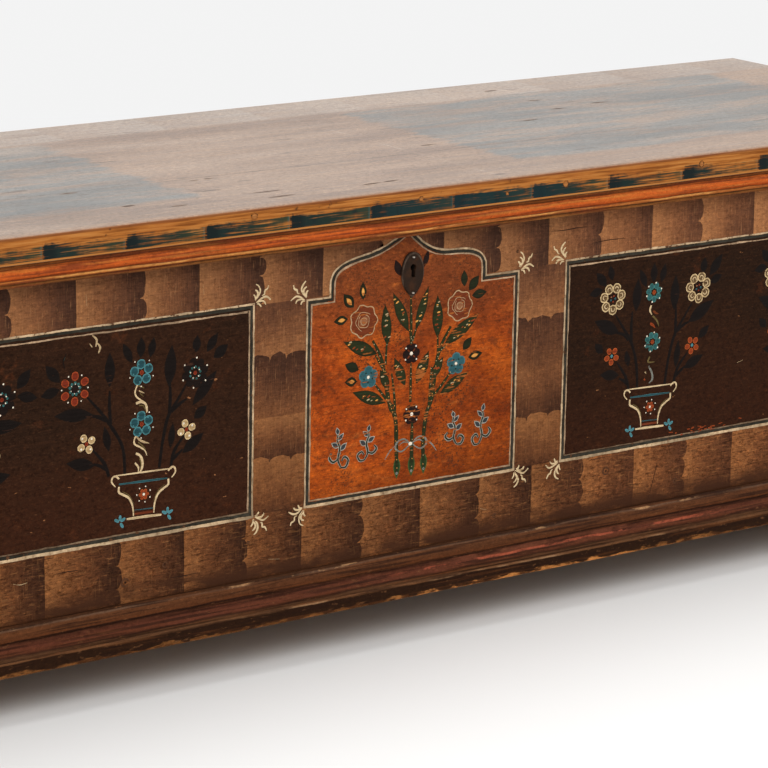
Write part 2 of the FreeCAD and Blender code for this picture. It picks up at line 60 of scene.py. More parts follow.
def put(tree, kind, inputs=None, output=0, **settings):
    made = tree.nodes.new(kind)
    for key, value in settings.items():
        setattr(made, key, value)
    for key, value in (inputs or {}).items():
        wire(value, made.inputs[key])
    return made.outputs[output]


def treeOf(*values):
    return next(value.id_data for value in values if isinstance(value, bpy.types.NodeSocket))


# shader helpers, all on Object coordinates
def place(tree):
    return put(tree, "ShaderNodeTexCoord", output="Object")


def axis(tree, name):
    return put(tree, "ShaderNodeSeparateXYZ", {0: place(tree)}, name)


def noiseAt(tree, scale, stretch=(1, 1, 1), detail=4.0, rough=0.55, warp=0.0):
    mapped = put(tree, "ShaderNodeMapping", {"Vector": place(tree), "Scale": stretch})
    inputs = {"Vector": mapped, "Scale": scale, "Detail": detail, "Roughness": rough, "Distortion": warp}
    return put(tree, "ShaderNodeTexNoise", inputs)


def sift(value, low, high, first=0.0, last=1.0):
    inputs = {0: value, 1: low, 2: high, 3: first, 4: last}
    return put(value.id_data, "ShaderNodeMapRange", inputs, interpolation_type="SMOOTHSTEP")


def calc(operation, first, second=0.0, clamp=False):
    tree = treeOf(first, second)
    return put(tree, "ShaderNodeMath", {0: first, 1: second}, operation=operation, use_clamp=clamp)


def plus(first, second):
    return calc("ADD", first, second)


def times(first, second):
    return calc("MULTIPLY", first, second)


def sway(noise, amount):
    # noise turned to go both ways from nought
    return times(calc("SUBTRACT", noise, 0.5), amount)


def between(value, low, high, soft):
    return times(sift(value, low - soft, low + soft), sift(value, high + soft, high - soft))


def vector(operation, first, second=(0, 0, 0), output=0):
    return put(treeOf(first, second), "ShaderNodeVectorMath", {0: first, 1: second}, output,
               operation=operation)


def tint(factor, first, second, how="MIX"):
    inputs = {0: factor, 6: first, 7: second}
    return put(treeOf(factor, first, second), "ShaderNodeMix", inputs, 2, data_type="RGBA", blend_type=how)


def ramp(value, stops):
    made = put(value.id_data, "ShaderNodeValToRGB", {0: value})
    bar = made.node.color_ramp.elements
    while len(bar) < len(stops):
        bar.new(0.5)
    for step, (position, colour) in zip(bar, stops):
        step.position = position
        step.color = (*colour, 1.0)
    return made


def mottle(colour, tone, noise, low, high, amount=1.0, how="MIX"):
    # a tone over the colour where a noise, given by its scale, stretch and so on, goes from low to high
    return tint(sift(noiseAt(colour.id_data, *noise), low, high, 0.0, amount), colour, tone, how)


def gritty(colour, strength):
    # dirt in the pores and small worn spots, from one to five millimetres across
    colour = mottle(colour, (0.42, 0.36, 0.3), (240.0, (0.7, 1, 1), 8.0, 0.86), 0.52, 0.38, strength,
                    "MULTIPLY")
    return mottle(colour, (1.8, 1.74, 1.62), (330.0, (0.6, 1, 1), 7.0, 0.84), 0.49, 0.64, strength,
                  "MULTIPLY")


def attribute(tree, name, output="Fac"):
    return put(tree, "ShaderNodeAttribute", output=output, attribute_name=name)


def newMaterial(name):
    made = bpy.data.materials.new(name)
    made.use_nodes = True
    return made, made.node_tree


def finishMaterial(made, colour, roughness, height, depth, gloss):
    tree = made.node_tree
    bump = put(tree, "ShaderNodeBump", {"Height": height, "Distance": depth, "Strength": 0.7})
    shader = tree.nodes["Principled BSDF"].inputs
    for label, value in {"Base Color": colour, "Roughness": roughness, "Specular IOR Level": gloss,
                         "Normal": bump}.items():
        wire(value, shader[label])
    return made


# bare pine: long grain with late-wood lines and grey age, the length along x, y or z
pineTones = {
    "light": (0.4, 0.23, 0.104), "dark": (0.225, 0.104, 0.04), "late": (0.135, 0.06, 0.024),
    "age": (0.15, 0.1, 0.066), "knot": (0.06, 0.025, 0.011),
}


def drawnOut(along, share):
    # a stretch of noise along one axis
    return tuple(share if name == along else 1 for name in "xyz")


def pineColour(tree, along):
    stretch = drawnOut(along, 0.05)
    rings = calc("FRACT", times(noiseAt(tree, 15.0, stretch, 4.0, 0.55, 0.6), 26.0))
    fine = noiseAt(tree, 260.0, stretch, 5.0, 0.65, 0.3)
    colour = ramp(fine, [(0.36, pineTones["dark"]), (0.55, pineTones["light"])])
    colour = tint(sift(rings, 0.55, 1.0, 0.0, 0.55), colour, pineTones["late"])
    colour = mottle(colour, pineTones["age"], (5.0, (1, 1, 1), 6.0), 0.42, 0.75, 0.55)
    colour = mottle(colour, pineTones["knot"], (16.0, drawnOut(along, 0.45), 1.0), 0.775, 0.81)
    return colour, plus(times(rings, 0.35), times(fine, 0.65))


def barePine(along):
    made, tree = newMaterial("bare_pine_along_" + along)
    colour, grain = pineColour(tree, along)
    return finishMaterial(made, colour, 0.68, grain, 0.0006, gloss=0.25)


# brown graining: each block is feathered from light to dark by its shade
grainTones = {
    "stops": [(0.0, (0.265, 0.113, 0.044)), (0.4, (0.16, 0.063, 0.026)), (0.8, (0.078, 0.031, 0.0155)),
              (1.0, (0.044, 0.0185, 0.0105))],
    "right": (1.22, 1.2, 1.18), "dirt": (0.04, 0.0145, 0.0065), "worn": (0.34, 0.165, 0.07),
    # shade and shadeReach: painted shade, the graining darkened more and more from 340 mm above the foot down
    # to 90 mm
    "line": (0.05, 0.019, 0.009), "shade": (0.73, 0.66, 0.56),
    "shadeReach": (footZ + 340 * mm, footZ + 90 * mm),
    "lowReach": (footZ + 125 * mm, footZ + 105 * mm), "dirtReach": (footZ + 72 * mm, footZ + 48 * mm),
    "rightReach": (190 * mm, 250 * mm), "endBlock": 78 * mm,
}
skin = (0.8 * mm, 1.2 * mm)      # the paint ends and the wood begins between these depths


def grainColour(tree, shade):
    g = grainTones
    z = axis(tree, "Z")
    low, paintedShade, foot = (sift(z, *g[reach]) for reach in ("lowReach", "shadeReach", "dirtReach"))
    drag = noiseAt(tree, 900.0, (1, 1, 0.03), 3.0)
    comb = noiseAt(tree, 760.0, (0.05, 1, 1), 4.0)
    share = sift(low, 0.0, 1.0, 0.45, 0.75)
    weave = put(tree, "ShaderNodeMix", {0: share, 2: drag, 3: comb}, data_type="FLOAT")
    uneven = plus(sway(noiseAt(tree, 17.0, detail=6.0, rough=0.62), 0.85), sway(weave, 0.95))
    right = sift(axis(tree, "X"), *g["rightReach"])
    shade = times(shade, sift(right, 0.0, 1.0, 1.0, 0.84))
    colour = ramp(calc("ADD", shade, uneven, True), g["stops"])
    lines = sift(noiseAt(tree, 560.0, (0.09, 1, 1), 5.0, 0.65, 0.4), 0.53, 0.64, 0.0, 0.75)
    colour = tint(times(lines, sift(low, 0.0, 1.0, 0.3, 1.0)), colour, g["line"])
    colour = mottle(colour, g["worn"], (620.0, (1, 1, 0.1), 3.0), 0.6, 0.72, 0.3)
    rubbed = sift(noiseAt(tree, 420.0, (0.12, 1, 1), 4.0, 0.6), 0.55, 0.68, 0.0, 0.4)
    colour = tint(times(rubbed, low), colour, g["worn"])
    colour = tint(sift(low, 0.0, 1.0, 0.6, 1.0), colour, gritty(colour, 1.0))
    colour = tint(right, colour, g["right"], "MULTIPLY")
    # painted shade: the colour darkened towards the bottom of the board
    colour = tint(paintedShade, colour, g["shade"], "MULTIPLY")
    dirt = times(foot, sift(noiseAt(tree, 60.0, (0.3, 1, 1), 6.0), 0.32, 0.56, 0.1, 0.95))
    return tint(dirt, colour, g["dirt"]), weave


def endColour(tree):
    # blocks across the depth of the ends
    depth = plus(axis(tree, "Y"), times(noiseAt(tree, 14.0), 0.008))
    shade = calc("FRACT", calc("DIVIDE", plus(depth, 1.0), grainTones["endBlock"]))
    return grainColour(tree, times(shade, 0.95))


def overEnds(tree, colour):
    # the ends' paint runs over the dovetails and soaks in a little darker there
    ends = sift(calc("ABSOLUTE", axis(tree, "X")), boardHigh.x - skin[1], boardHigh.x - skin[0])
    return tint(ends, colour, tint(1.0, endColour(tree)[0], (0.8, 0.78, 0.76), "MULTIPLY"))


def frontBoardPaint():
    made, tree = newMaterial("front_board_finish")
    colour, weave = grainColour(tree, noiseAt(tree, 9.0))
    inner = sift(axis(tree, "Y"), frontY + skin[0], frontY + skin[1])
    colour = overEnds(tree, tint(inner, colour, pineColour(tree, "x")[0]))
    low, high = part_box("escutcheon")
    keyhole = ((low.x + high.x) / 2, (frontY + boardHigh.y) / 2, (low.z + high.z) / 2)
    # painted shade: the board painted near black within about 16 mm of the keyhole's middle, inside the hole
    keyholeShade = sift(vector("DISTANCE", place(tree), keyhole, "Value"), 0.018, 0.014)
    return finishMaterial(made, tint(keyholeShade, colour, (0.012, 0.008, 0.006)), 0.6, weave, 0.0004, gloss=0.04)


def backPaint():
    made, tree = newMaterial("back_board_finish")
    pine, grain = pineColour(tree, "x")
    return finishMaterial(made, overEnds(tree, pine), 0.68, grain, 0.0006, gloss=0.2)


def groundPaint():
    made, tree = newMaterial("feathered_graining")
    colour, weave = grainColour(tree, attribute(tree, "shade"))
    return finishMaterial(made, colour, 0.6, weave, 0.0004, gloss=0.04)


def endPaint(side):
    made, tree = newMaterial("end_graining_" + ("left" if side < 0 else "right"))
    colour, weave = endColour(tree)
    inner = sift(times(axis(tree, "X"), float(side)), boardHigh.x - skin[0], boardHigh.x - skin[1])
    return finishMaterial(made, tint(inner, colour, pineColour(tree, "y")[0]), 0.6, weave, 0.0004, gloss=0.04)


# panel grounds
darkPanelTones = {
    "stops": [(0.3, (0.016, 0.0072, 0.0036)), (0.5, (0.0195, 0.008, 0.0038)),
              (0.7, (0.026, 0.0094, 0.0042)), (0.86, (0.041, 0.0125, 0.0055))],
    "low": (0.033, 0.0098, 0.004), "line": (0.036, 0.0135, 0.0062), "dust": (0.06, 0.027, 0.0135),
    "rubbed": (0.08, 0.023, 0.008), "chip": (0.24, 0.1, 0.04), "right": (0.86, 0.84, 0.78),
}
orangePanelTones = {
    "stops": [(0.34, (0.168, 0.027, 0.0033)), (0.46, (0.318, 0.052, 0.0046)),
              (0.57, (0.425, 0.079, 0.0064)), (0.7, (0.51, 0.108, 0.0108))],
    # right and low: painted shade, the orange darkened towards the panel's lower right and towards its foot
    "right": (0.43, 0.41, 0.4), "low": (0.63, 0.64, 0.67), "high": (0.15, 0.038, 0.0105),
    "line": (0.105, 0.022, 0.0055), "rubbed": (0.44, 0.115, 0.02), "speck": (0.045, 0.015, 0.006),
    "grime": (0.075, 0.02, 0.006),
}


def darkPanelPaint():
    made, tree = newMaterial("dark_panel_paint")
    t = darkPanelTones
    lines = noiseAt(tree, 620.0, (0.05, 1, 1), 4.0)
    colour = ramp(noiseAt(tree, 8.0, (0.5, 1, 1), 5.0), t["stops"])
    low = sift(axis(tree, "Z"), footZ + 0.25, footZ + 0.12, 0.0, 0.75)
    colour = tint(low, colour, t["low"])
    colour = tint(sift(lines, 0.48, 0.7, 0.0, 0.5), colour, t["line"])
    colour = mottle(colour, t["dust"], (800.0, (0.5, 1, 1), 2.0), 0.58, 0.72, 0.5)
    colour = mottle(colour, t["rubbed"], (34.0, (0.7, 1, 1), 6.0, 0.75), 0.575, 0.72, 0.6)
    colour = mottle(colour, t["chip"], (170.0, (0.45, 1, 1), 2.0), 0.755, 0.78)
    colour = tint(sift(axis(tree, "X"), -0.1, 0.1), colour, t["right"], "MULTIPLY")
    return finishMaterial(made, gritty(colour, 0.8), 0.5, lines, 0.0002, gloss=0.03)


def orangePanelPaint():
    made, tree = newMaterial("orange_panel_paint")
    t = orangePanelTones
    x, z = axis(tree, "X"), axis(tree, "Z")
    lines = noiseAt(tree, 680.0, (0.06, 1, 1), 4.0)
    colour = ramp(noiseAt(tree, 20.0, (0.7, 1, 1), 6.0, 0.65), t["stops"])
    # painted shade: darker towards the right of the panel's lower part, and darker towards its foot
    paintedShadeRight = times(sift(z, footZ + 0.19, footZ + 0.27, 1.0, 0.4), sift(x, -0.11, 0.13, 0.0, 0.8))
    colour = tint(paintedShadeRight, colour, t["right"], "MULTIPLY")
    colour = tint(sift(z, footZ + 0.16, footZ + 0.11), colour, t["low"], "MULTIPLY")
    colour = tint(sift(z, footZ + 0.24, footZ + 0.35, 0.0, 0.9), colour, t["high"])
    colour = tint(sift(lines, 0.46, 0.64, 0.0, 0.45), colour, t["line"])
    colour = mottle(colour, t["rubbed"], (110.0, (0.3, 1, 1), 5.0), 0.56, 0.7, 0.4)
    worn = sift(noiseAt(tree, 13.0, detail=5.0), 0.42, 0.6)
    specks = times(worn, sift(noiseAt(tree, 480.0, (0.7, 1, 1), 3.0), 0.52, 0.64, 0.0, 0.9))
    colour = tint(specks, colour, t["speck"])
    colour = mottle(colour, t["grime"], (100.0, (0.8, 1, 1), 6.0, 0.7), 0.53, 0.68, 0.6)
    return finishMaterial(made, gritty(colour, 0.85), 0.48, lines, 0.0002, gloss=0.05)


# ornament: the rim colour and the heart colour of each stroke, rubbed through to the ground below
def ornamentPaint(name, under, worn=None, drawn=(0.08, 1, 1)):
    made, tree = newMaterial(name)
    rim = sift(attribute(tree, "rim"), 0.55, 0.95)
    colour = tint(rim, attribute(tree, "heart", "Color"), attribute(tree, "paint", "Color"))
    streak = noiseAt(tree, 520.0, drawn, 3.0)
    level = plus(times(streak, 0.65), times(noiseAt(tree, 80.0), 0.35))
    bare = calc("SUBTRACT", plus(level, attribute(tree, "wear")), 0.64)
    if worn:                          # a patch rubbed through by hands: its x, height and radius
        u, v, radius = (size * mm for size in worn)
        apart = vector("DISTANCE", place(tree), (u, frontY, footZ + v), "Value")
        bare = plus(bare, sift(apart, radius, radius * 0.3, 0.0, 0.065))
    colour = tint(sift(streak, 0.4, 0.66, 0.0, 0.8), colour, (0.62, 0.58, 0.54), "MULTIPLY")
    return finishMaterial(made, tint(sift(bare, -0.02, 0.04), colour, under), 0.5, level, 0.0001, gloss=0.04)


# lid: rubbed tan and blue fields on top, ochre edge, bare pine below
lidTones = {
    "tan": (0.275, 0.19, 0.136), "tanDark": (0.16, 0.102, 0.07), "blue": (0.17, 0.16, 0.147),
    "blueDark": (0.098, 0.097, 0.092), "pale": (0.33, 0.252, 0.198), "rear": (0.285, 0.234, 0.198),
    "ochre": (0.345, 0.12, 0.024), "ochreDark": (0.175, 0.052, 0.01), "ochrePale": (0.42, 0.17, 0.042),
    "arris": (0.13, 0.04, 0.016), "joint": (0.05, 0.03, 0.02), "border": (0.255, 0.15, 0.088),
    "mark": (0.085, 0.052, 0.034),
}
lidFields = {
    "depth": (lidLow.y + 78 * mm, lidBack - 85 * mm), "right": (170 * mm, 728 * mm),
    "left": (-728 * mm, -234 * mm), "soft": 6 * mm, "seam": (96 * mm, 100 * mm), "block": 135 * mm,
}


def edgeColour(tree):
    t = lidTones
    lines = noiseAt(tree, 520.0, (0.04, 0.04, 1), 4.0)
    colour = ramp(lines, [(0.36, t["ochreDark"]), (0.52, t["ochre"]), (0.68, t["ochrePale"])])
    colour = mottle(colour, (0.29, 0.085, 0.017), (26.0, (1, 1, 1), 5.0), 0.48, 0.72, 0.5)
    return mottle(colour, (0.055, 0.022, 0.01), (75.0, (1, 1, 1), 3.0), 0.66, 0.74, 0.8)


def lidTop(tree, x, y, lines):
    t, f = lidTones, lidFields
    broad = noiseAt(tree, 12.0, (0.25, 1, 1), 6.0, 0.6)
    worn = sift(plus(times(lines, 0.6), times(broad, 0.4)), 0.42, 0.57)
    wander = sway(noiseAt(tree, 20.0, (0.4, 1, 1), 5.0), 0.05)
    along = plus(x, sway(noiseAt(tree, 110.0, (0.1, 1, 1), 5.0, 0.6), 0.07))
    across = plus(between(along, *f["right"], f["soft"]), between(along, *f["left"], f["soft"]))
    kept = sift(noiseAt(tree, 60.0, (0.14, 1, 1), 6.0, 0.68), 0.62, 0.44, 0.3, 1.0)
    field = times(times(between(plus(y, wander), *f["depth"], f["soft"]), across), kept)
    top = tint(field, tint(worn, t["tanDark"], t["tan"]), tint(worn, t["blueDark"], t["blue"]))
    block = calc("FRACT", calc("DIVIDE", plus(x, 1.0), f["block"]))
    rear = sift(y, lidBack - 0.085, lidBack - 0.075)
    top = tint(times(rear, sift(block, 0.0, 1.0, 0.4, 0.75)), top, t["rear"])
    smudge = sift(noiseAt(tree, 16.0, (0.45, 1, 1), 6.0, 0.65), 0.56, 0.7, 0.0, 0.7)
    top = tint(times(smudge, sift(y, lidBack - 0.11, lidBack - 0.02)), top, t["tanDark"])
    seam = times(between(x, *f["seam"], 0.002), sift(broad, 0.45, 0.6, 0.1, 0.6))
    top = tint(seam, top, t["pale"])
    top = mottle(top, t["pale"], (8.0, (0.3, 1, 1), 6.0), 0.52, 0.7, 0.6)
    top = mottle(top, t["mark"], (75.0, (0.22, 1, 1), 3.0), 0.655, 0.73, 0.8)
    top = tint(sift(x, -0.15, -0.5), top, (0.91, 0.93, 0.94), "MULTIPLY")
    front = sift(plus(y, times(wander, 0.2)), lidLow.y + 0.016, lidLow.y + 0.001, 0.0, 0.7)
    top = tint(front, top, t["border"])
    gap = between(plus(y, times(wander, 0.03)), lidHigh.y - 0.0011, lidHigh.y + 0.0011, 0.0006)
    gap = times(gap, sift(noiseAt(tree, 22.0, (1, 0, 0), 3.0), 0.38, 0.6, 0.15, 0.9))
    return gritty(tint(gap, top, t["joint"]), 0.7)


def lidPaint():
    made, tree = newMaterial("lid_paint")
    x, y, z = (axis(tree, name) for name in "XYZ")
    lines = noiseAt(tree, 330.0, (0.025, 1, 1), 6.0, 0.66, 0.5)
    arris = times(between(z, lidHigh.z - 0.0036, lidHigh.z - 0.0008, 0.001), 0.7)
    side = tint(arris, edgeColour(tree), lidTones["arris"])
    side = tint(sift(z, lidLow.z + 0.0026, lidLow.z + 0.0014, 0.0, 0.8), side, lidTones["ochrePale"])
    colour = tint(sift(z, lidHigh.z - 0.002, lidHigh.z - 0.0004), side, lidTop(tree, x, y, lines))
    below = sift(z, lidLow.z + 0.0009, lidLow.z + 0.0003)
    bare = calc("MAXIMUM", below, sift(y, lidBack - 0.0009, lidBack - 0.0003))
    waxed = sift(z, lidHigh.z - 0.0022, lidHigh.z - 0.0004, 0.03, 0.45)
    roughness = sift(lines, 0.3, 0.7, 0.34, 0.5)
    return finishMaterial(made, tint(bare, colour, pineColour(tree, "x")[0]), roughness, lines, 0.0004, waxed)


# mouldings: bands of colour by height, some of them painted shade in the hollows, streaked along their length
# and worn at the arrises
def mouldingPaint(name, low, high, paint, along):
    made, tree = newMaterial(name)
    stretch, chipped = drawnOut(along, 0.03), drawnOut(along, 0.3)
    x, z = axis(tree, "X"), axis(tree, "Z")
    lines = noiseAt(tree, 330.0, stretch, 5.0)
    height = plus(z, sway(noiseAt(tree, 60.0, chipped, 4.0), 0.004))
    share = put(tree, "ShaderNodeMapRange", {0: height, 1: low, 2: high})
    colour = ramp(share, paint["stops"])
    colour = tint(sift(lines, 0.45, 0.62, 0.0, 0.75), colour, paint["streak"])
    colour = mottle(colour, paint["warm"], (210.0, stretch, 4.0), 0.54, 0.68, 0.45)
    for band, tone, scale, amount, reach in paint["marks"]:
        left = sift(noiseAt(tree, scale, chipped, 5.0, 0.65), amount, amount + 0.1)
        line = times(between(share, *band, 0.012), between(x, *reach, 0.03))
        colour = tint(times(line, left), colour, tone)
    ragged = plus(z, sway(noiseAt(tree, 150.0, chipped, 5.0), 0.02))
    foot = sift(ragged, low + 0.0036, low + 0.0014, 0.0, paint["raw"])
    split = sift(noiseAt(tree, 200.0, chipped, 4.0), 0.4, 0.62)
    split = times(split, sift(noiseAt(tree, 6.0, chipped, 4.0), 0.42, 0.58, 0.25, 1.0))
    colour = tint(foot, colour, tint(split, (0.05, 0.018, 0.006), (0.42, 0.165, 0.045)))
    colour = mottle(colour, paint["nick"], (320.0, chipped, 4.0, 0.65), 0.6, 0.7, 0.6)
    return finishMaterial(made, gritty(colour, 0.5), 0.5, lines, 0.0004, gloss=0.03)


allAlong = (-1.0, 1.0)
basePaint = {
    "stops": [
        (0.0, (0.03, 0.012, 0.005)), (0.08, (0.02, 0.0078, 0.0032)), (0.29, (0.018, 0.007, 0.0028)),
        (0.315, (0.125, 0.052, 0.02)), (0.37, (0.075, 0.034, 0.016)), (0.395, (0.032, 0.012, 0.006)),
        (0.44, (0.084, 0.024, 0.01)), (0.54, (0.084, 0.024, 0.012)), (0.66, (0.055, 0.018, 0.009)),
        # the near-black stop at 0.69, in the step under the top slope, is painted shade
        (0.69, (0.014, 0.005, 0.0025)), (0.72, (0.082, 0.025, 0.008)), (0.78, (0.072, 0.024, 0.0085)),
        (0.905, (0.082, 0.029, 0.0105)), (0.945, (0.098, 0.052, 0.03)), (0.965, (0.04, 0.015, 0.006)),
    ],
    "streak": (0.016, 0.006, 0.003), "warm": (0.115, 0.038, 0.012), "raw": 1.0, "nick": (0.13, 0.055, 0.022),
    "marks": [((0.425, 0.465), (0.09, 0.026, 0.013), 26.0, 0.5, allAlong),
              ((0.93, 0.978), (0.32, 0.17, 0.078), 60.0, 0.56, allAlong),
              ((0.3, 0.335), (0.27, 0.15, 0.075), 16.0, 0.5, allAlong),
              ((0.56, 0.66), (0.115, 0.036, 0.018), 24.0, 0.52, allAlong),
              ((0.495, 0.548), (0.25, 0.059, 0.028), 75.0, 0.4, (-0.02, 0.42))],
}
lipPaint = {
    # painted shade: the dark stops from 0.8 up to the top, under the lid's edge, over dark red paint, and the
    # near-black line at 0.165 above the lower bead
    "stops": [(0.0, (0.06, 0.022, 0.008)), (0.07, (0.2, 0.072, 0.018)), (0.13, (0.115, 0.042, 0.011)),
              (0.165, (0.016, 0.007, 0.004)), (0.2, (0.28, 0.082, 0.017)), (0.3, (0.36, 0.112, 0.023)),
              (0.335, (0.085, 0.025, 0.008)), (0.37, (0.36, 0.066, 0.011)), (0.6, (0.45, 0.087, 0.014)),
              (0.76, (0.38, 0.088, 0.017)), (0.8, (0.075, 0.022, 0.008)), (0.86, (0.21, 0.062, 0.013)),
              (0.92, (0.115, 0.033, 0.008)), (1.0, (0.06, 0.02, 0.008))],
    "streak": (0.12, 0.024, 0.01), "warm": (0.4, 0.15, 0.032), "raw": 0.0, "nick": (0.045, 0.016, 0.007),
    "marks": [((0.5, 0.56), (0.15, 0.026, 0.012), 7.0, 0.47, allAlong),
              ((0.62, 0.7), (0.42, 0.125, 0.022), 12.0, 0.48, allAlong),
              ((0.24, 0.32), (0.44, 0.2, 0.055), 15.0, 0.5, allAlong)],
}


def forgedIron():
    made, tree = newMaterial("forged_iron")
    scale = noiseAt(tree, 140.0, detail=6.0)
    rust = sift(noiseAt(tree, 60.0, detail=6.0), 0.52, 0.7)
    colour = tint(rust, (0.0185, 0.0098, 0.0056), (0.036, 0.015, 0.0068))
    low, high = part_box("escutcheon")
    middle = ((low.x + high.x) / 2, 0.0, (low.z + high.z) / 2)
    size = (2 / (high.x - low.x), 0.0, 2 / (high.z - low.z))
    reach = vector("LENGTH", vector("MULTIPLY", vector("SUBTRACT", place(tree), middle), size),
                   output="Value")
    rim = times(between(reach, 0.9, 0.99, 0.03), sift(scale, 0.4, 0.55, 0.2, 0.8))
    colour = tint(rim, colour, (0.085, 0.058, 0.04))      # the escutcheon's rim painted lighter: a painted highlight, on rubbed iron
    return finishMaterial(made, colour, sift(scale, 0.3, 0.7, 0.42, 0.65), scale, 0.0003, gloss=0.06)


def glintIron(glint):
    # nail heads painted pale a little left of their middles: a painted highlight, a glint
    made, tree = newMaterial("nail_glint_iron")
    scale = noiseAt(tree, 300.0, detail=5.0)
    low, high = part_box("escutcheon_nails")
    half = (high.x - low.x) / 2
    flat = vector("MULTIPLY", place(tree), (1, 0, 1))
    heads = (low.z + half, high.z - half)
    apart = [vector("DISTANCE", flat, (low.x + half * 0.6, 0.0, z), "Value") for z in heads]
    bright = sift(calc("MINIMUM", *apart), glint, glint / 2)
    # the pale colour of the painted glint
    worn = ramp(scale, [(0.3, (0.3, 0.25, 0.2)), (0.7, (0.5, 0.44, 0.37))])
    return finishMaterial(made, tint(bright, (0.026, 0.016, 0.01), worn), 0.45, scale, 0.0002, gloss=0.12)


def dress(names, material):
    for name in names:
        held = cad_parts[name].data.materials
        if len(held) == 0:
            held.append(material)
        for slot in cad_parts[name].material_slots:
            slot.material = material


ownPaint = ("board", "plank", "skid", "moulding", "batten", "escutcheon_nails")
dress([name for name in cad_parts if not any(word in name for word in ownPaint)], forgedIron())
dress(["escutcheon_nails"], glintIron(1.2 * mm))
dress(["front_board"], frontBoardPaint())
dress(["left_end_board"], endPaint(-1))
dress(["right_end_board"], endPaint(1))
dress(["lid_front_plank", "lid_back_plank"], lidPaint())
dress(["back_lower_board", "back_upper_board"], backPaint())
dress(["bottom_front_plank", "bottom_back_plank"], barePine("x"))
dress(["left_skid", "right_skid", "lid_batten_left", "lid_batten_right"], barePine("y"))
for piece, low, high, paint in (("base", baseLow.z, baseHigh.z, basePaint),
                                ("lid", lipLow.z, lipHigh.z, lipPaint)):
    for which, along in (("front", "x"), ("left", "y"), ("right", "y")):
        material = mouldingPaint(piece + "_moulding_paint_" + which, low, high, paint, along)
        dress([piece + "_moulding_" + which], material)
print("materials on the solids:", len(bpy.data.materials))


# flat paint: outlines on a sheet that is x across, y up and z out of the board, then stood on the front face
standUp = Matrix.Translation((0, frontY, footZ)) @ Matrix.Rotation(math.radians(90), 4, "X")


def partWay(a, b, share):
    return a[0] + (b[0] - a[0]) * share, a[1] + (b[1] - a[1]) * share


def addObject(name, data):
    made = bpy.data.objects.new(name, data)
    bpy.context.scene.collection.objects.link(made)
    return made


def addPiece(name, mesh, body, material=None):
    piece = addObject(name, mesh)
    if material:
        mesh.materials.append(material)
    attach(piece, body)
    return piece


def newMesh(name, verts, edges=(), faces=(), **values):
    # a mesh with one value, vector or colour per point for each name given
    mesh = bpy.data.meshes.new(name)
    mesh.from_pydata(verts, edges, faces)
    for key, held in values.items():
        kind = pointKinds.get(key, "FLOAT")
        field = {"FLOAT_VECTOR": "vector", "FLOAT_COLOR": "color"}.get(kind, "value")
        mesh.attributes.new(key, kind, "POINT").data.foreach_set(field, held)
    return mesh


pointKinds = {"kind": "INT", "size": "FLOAT_VECTOR", "paint": "FLOAT_COLOR", "heart": "FLOAT_COLOR"}


def layPaint(name, slabs, material):
    # closed slabs of paint, each with its outline, its thickness and a shade per point
    verts, faces, shades = [], [], []
    for outline, lift, marks in slabs:
        count, start = len(outline), len(verts)
        verts += [(u * mm, v * mm, level * mm) for level in (lift, 0.0) for u, v in outline]
        shades += list(marks) * 2
        faces.append(list(range(start, start + count)))
        faces.append(list(range(start + 2 * count - 1, start + count - 1, -1)))
        for i in range(count):
            j = (i + 1) % count
            faces.append((start + i, start + count + i, start + count + j, start + j))
    mesh = newMesh(name, verts, faces=faces, shade=shades)
    mesh.transform(standUp)
    addPiece(name, mesh, "carcase", material)


# the graining blocks of the front: borders run across, stiles run down, every other joint is scalloped
ground = {
    "edge": (boardHigh.x - boardLow.x) / mm / 2, "lift": 0.1, "pitch": 74.0,
    "lobe": {"low": 7.5, "top": 7.5, "stile": 7.0},
    "rough": {"low": 0.9, "top": 0.4, "stile": 0.9},
    "topJoints": (-489, -409, -336, -266, -194, -116, -47, 38, 107.5, 178, 245.5, 322, 387.5, 470),
    "topFirstScalloped": True,
    "lowJoints": (-446, -364, -283, -213, -139, -67, 14, 87, 164, 229, 308, 377, 452),
    "lowFirstScalloped": False,
    "rows": {"low": (38.0, 112.0), "stile": (112.0, 333.0), "top": (333.0, 412.0)},
    "stiles": ((-818, -690), (-206, -132), (132, 206), (690, 818)),
    "stileShades": {-1: ((0.75, 0.15), (1.0, 0.4), (0.1, 0.95), (0.1, 0.45), (0.35, 0.7)),
                    1: ((0.75, 0.15), (1.0, 0.4), (0.32, 0.95), (0.1, 0.45), (0.35, 0.7))},
    "stileJoints": {-1: (273, 213, 165, 128), 1: (272, 219, 163, 128)},
    "lobesAcross": {"low": 3, "top": 3, "stile": 3}, "headFoot": 363.0,
}


def joints(measured, edge, pitch, firstScalloped):
    places = [(u, firstScalloped == (i % 2 == 0)) for i, u in enumerate(measured)]
    while places[0][0] - pitch > -edge + pitch / 3:
        places.insert(0, (places[0][0] - pitch, not places[0][1]))
    while places[-1][0] + pitch < edge - pitch / 3:
        places.append((places[-1][0] + pitch, not places[-1][1]))
    return places


def scallop(start, end, at, lobes, depth, rough, steps=7):
    # points along a joint from start to end, bulging by half rounds of uneven height
    rng = random.Random(round(at * 10 + start))
    breaks = [0.0] + [(lobe + rng.uniform(-0.18, 0.18)) / lobes for lobe in range(1, lobes)] + [1.0]
    points = []
    for low, high in zip(breaks, breaks[1:]):
        bulge = depth * rng.uniform(0.75, 1.15)
        for step in range(steps):
            turn = math.pi * step / steps
            along = low + (high - low) * (1 - math.cos(turn)) / 2
            points.append((start + (end - start) * along,
                           at + bulge * math.sin(turn) ** 0.8 + rng.uniform(-rough, rough)))
    points.append((end, at))
    return points


def straight(start, end, at, steps=6):
    # a joint drawn by hand along a rule
    rng = random.Random(round(at * 7 + end))
    return [(start + (end - start) * i / steps, at + rng.uniform(-0.5, 0.5)) for i in range(steps + 1)]


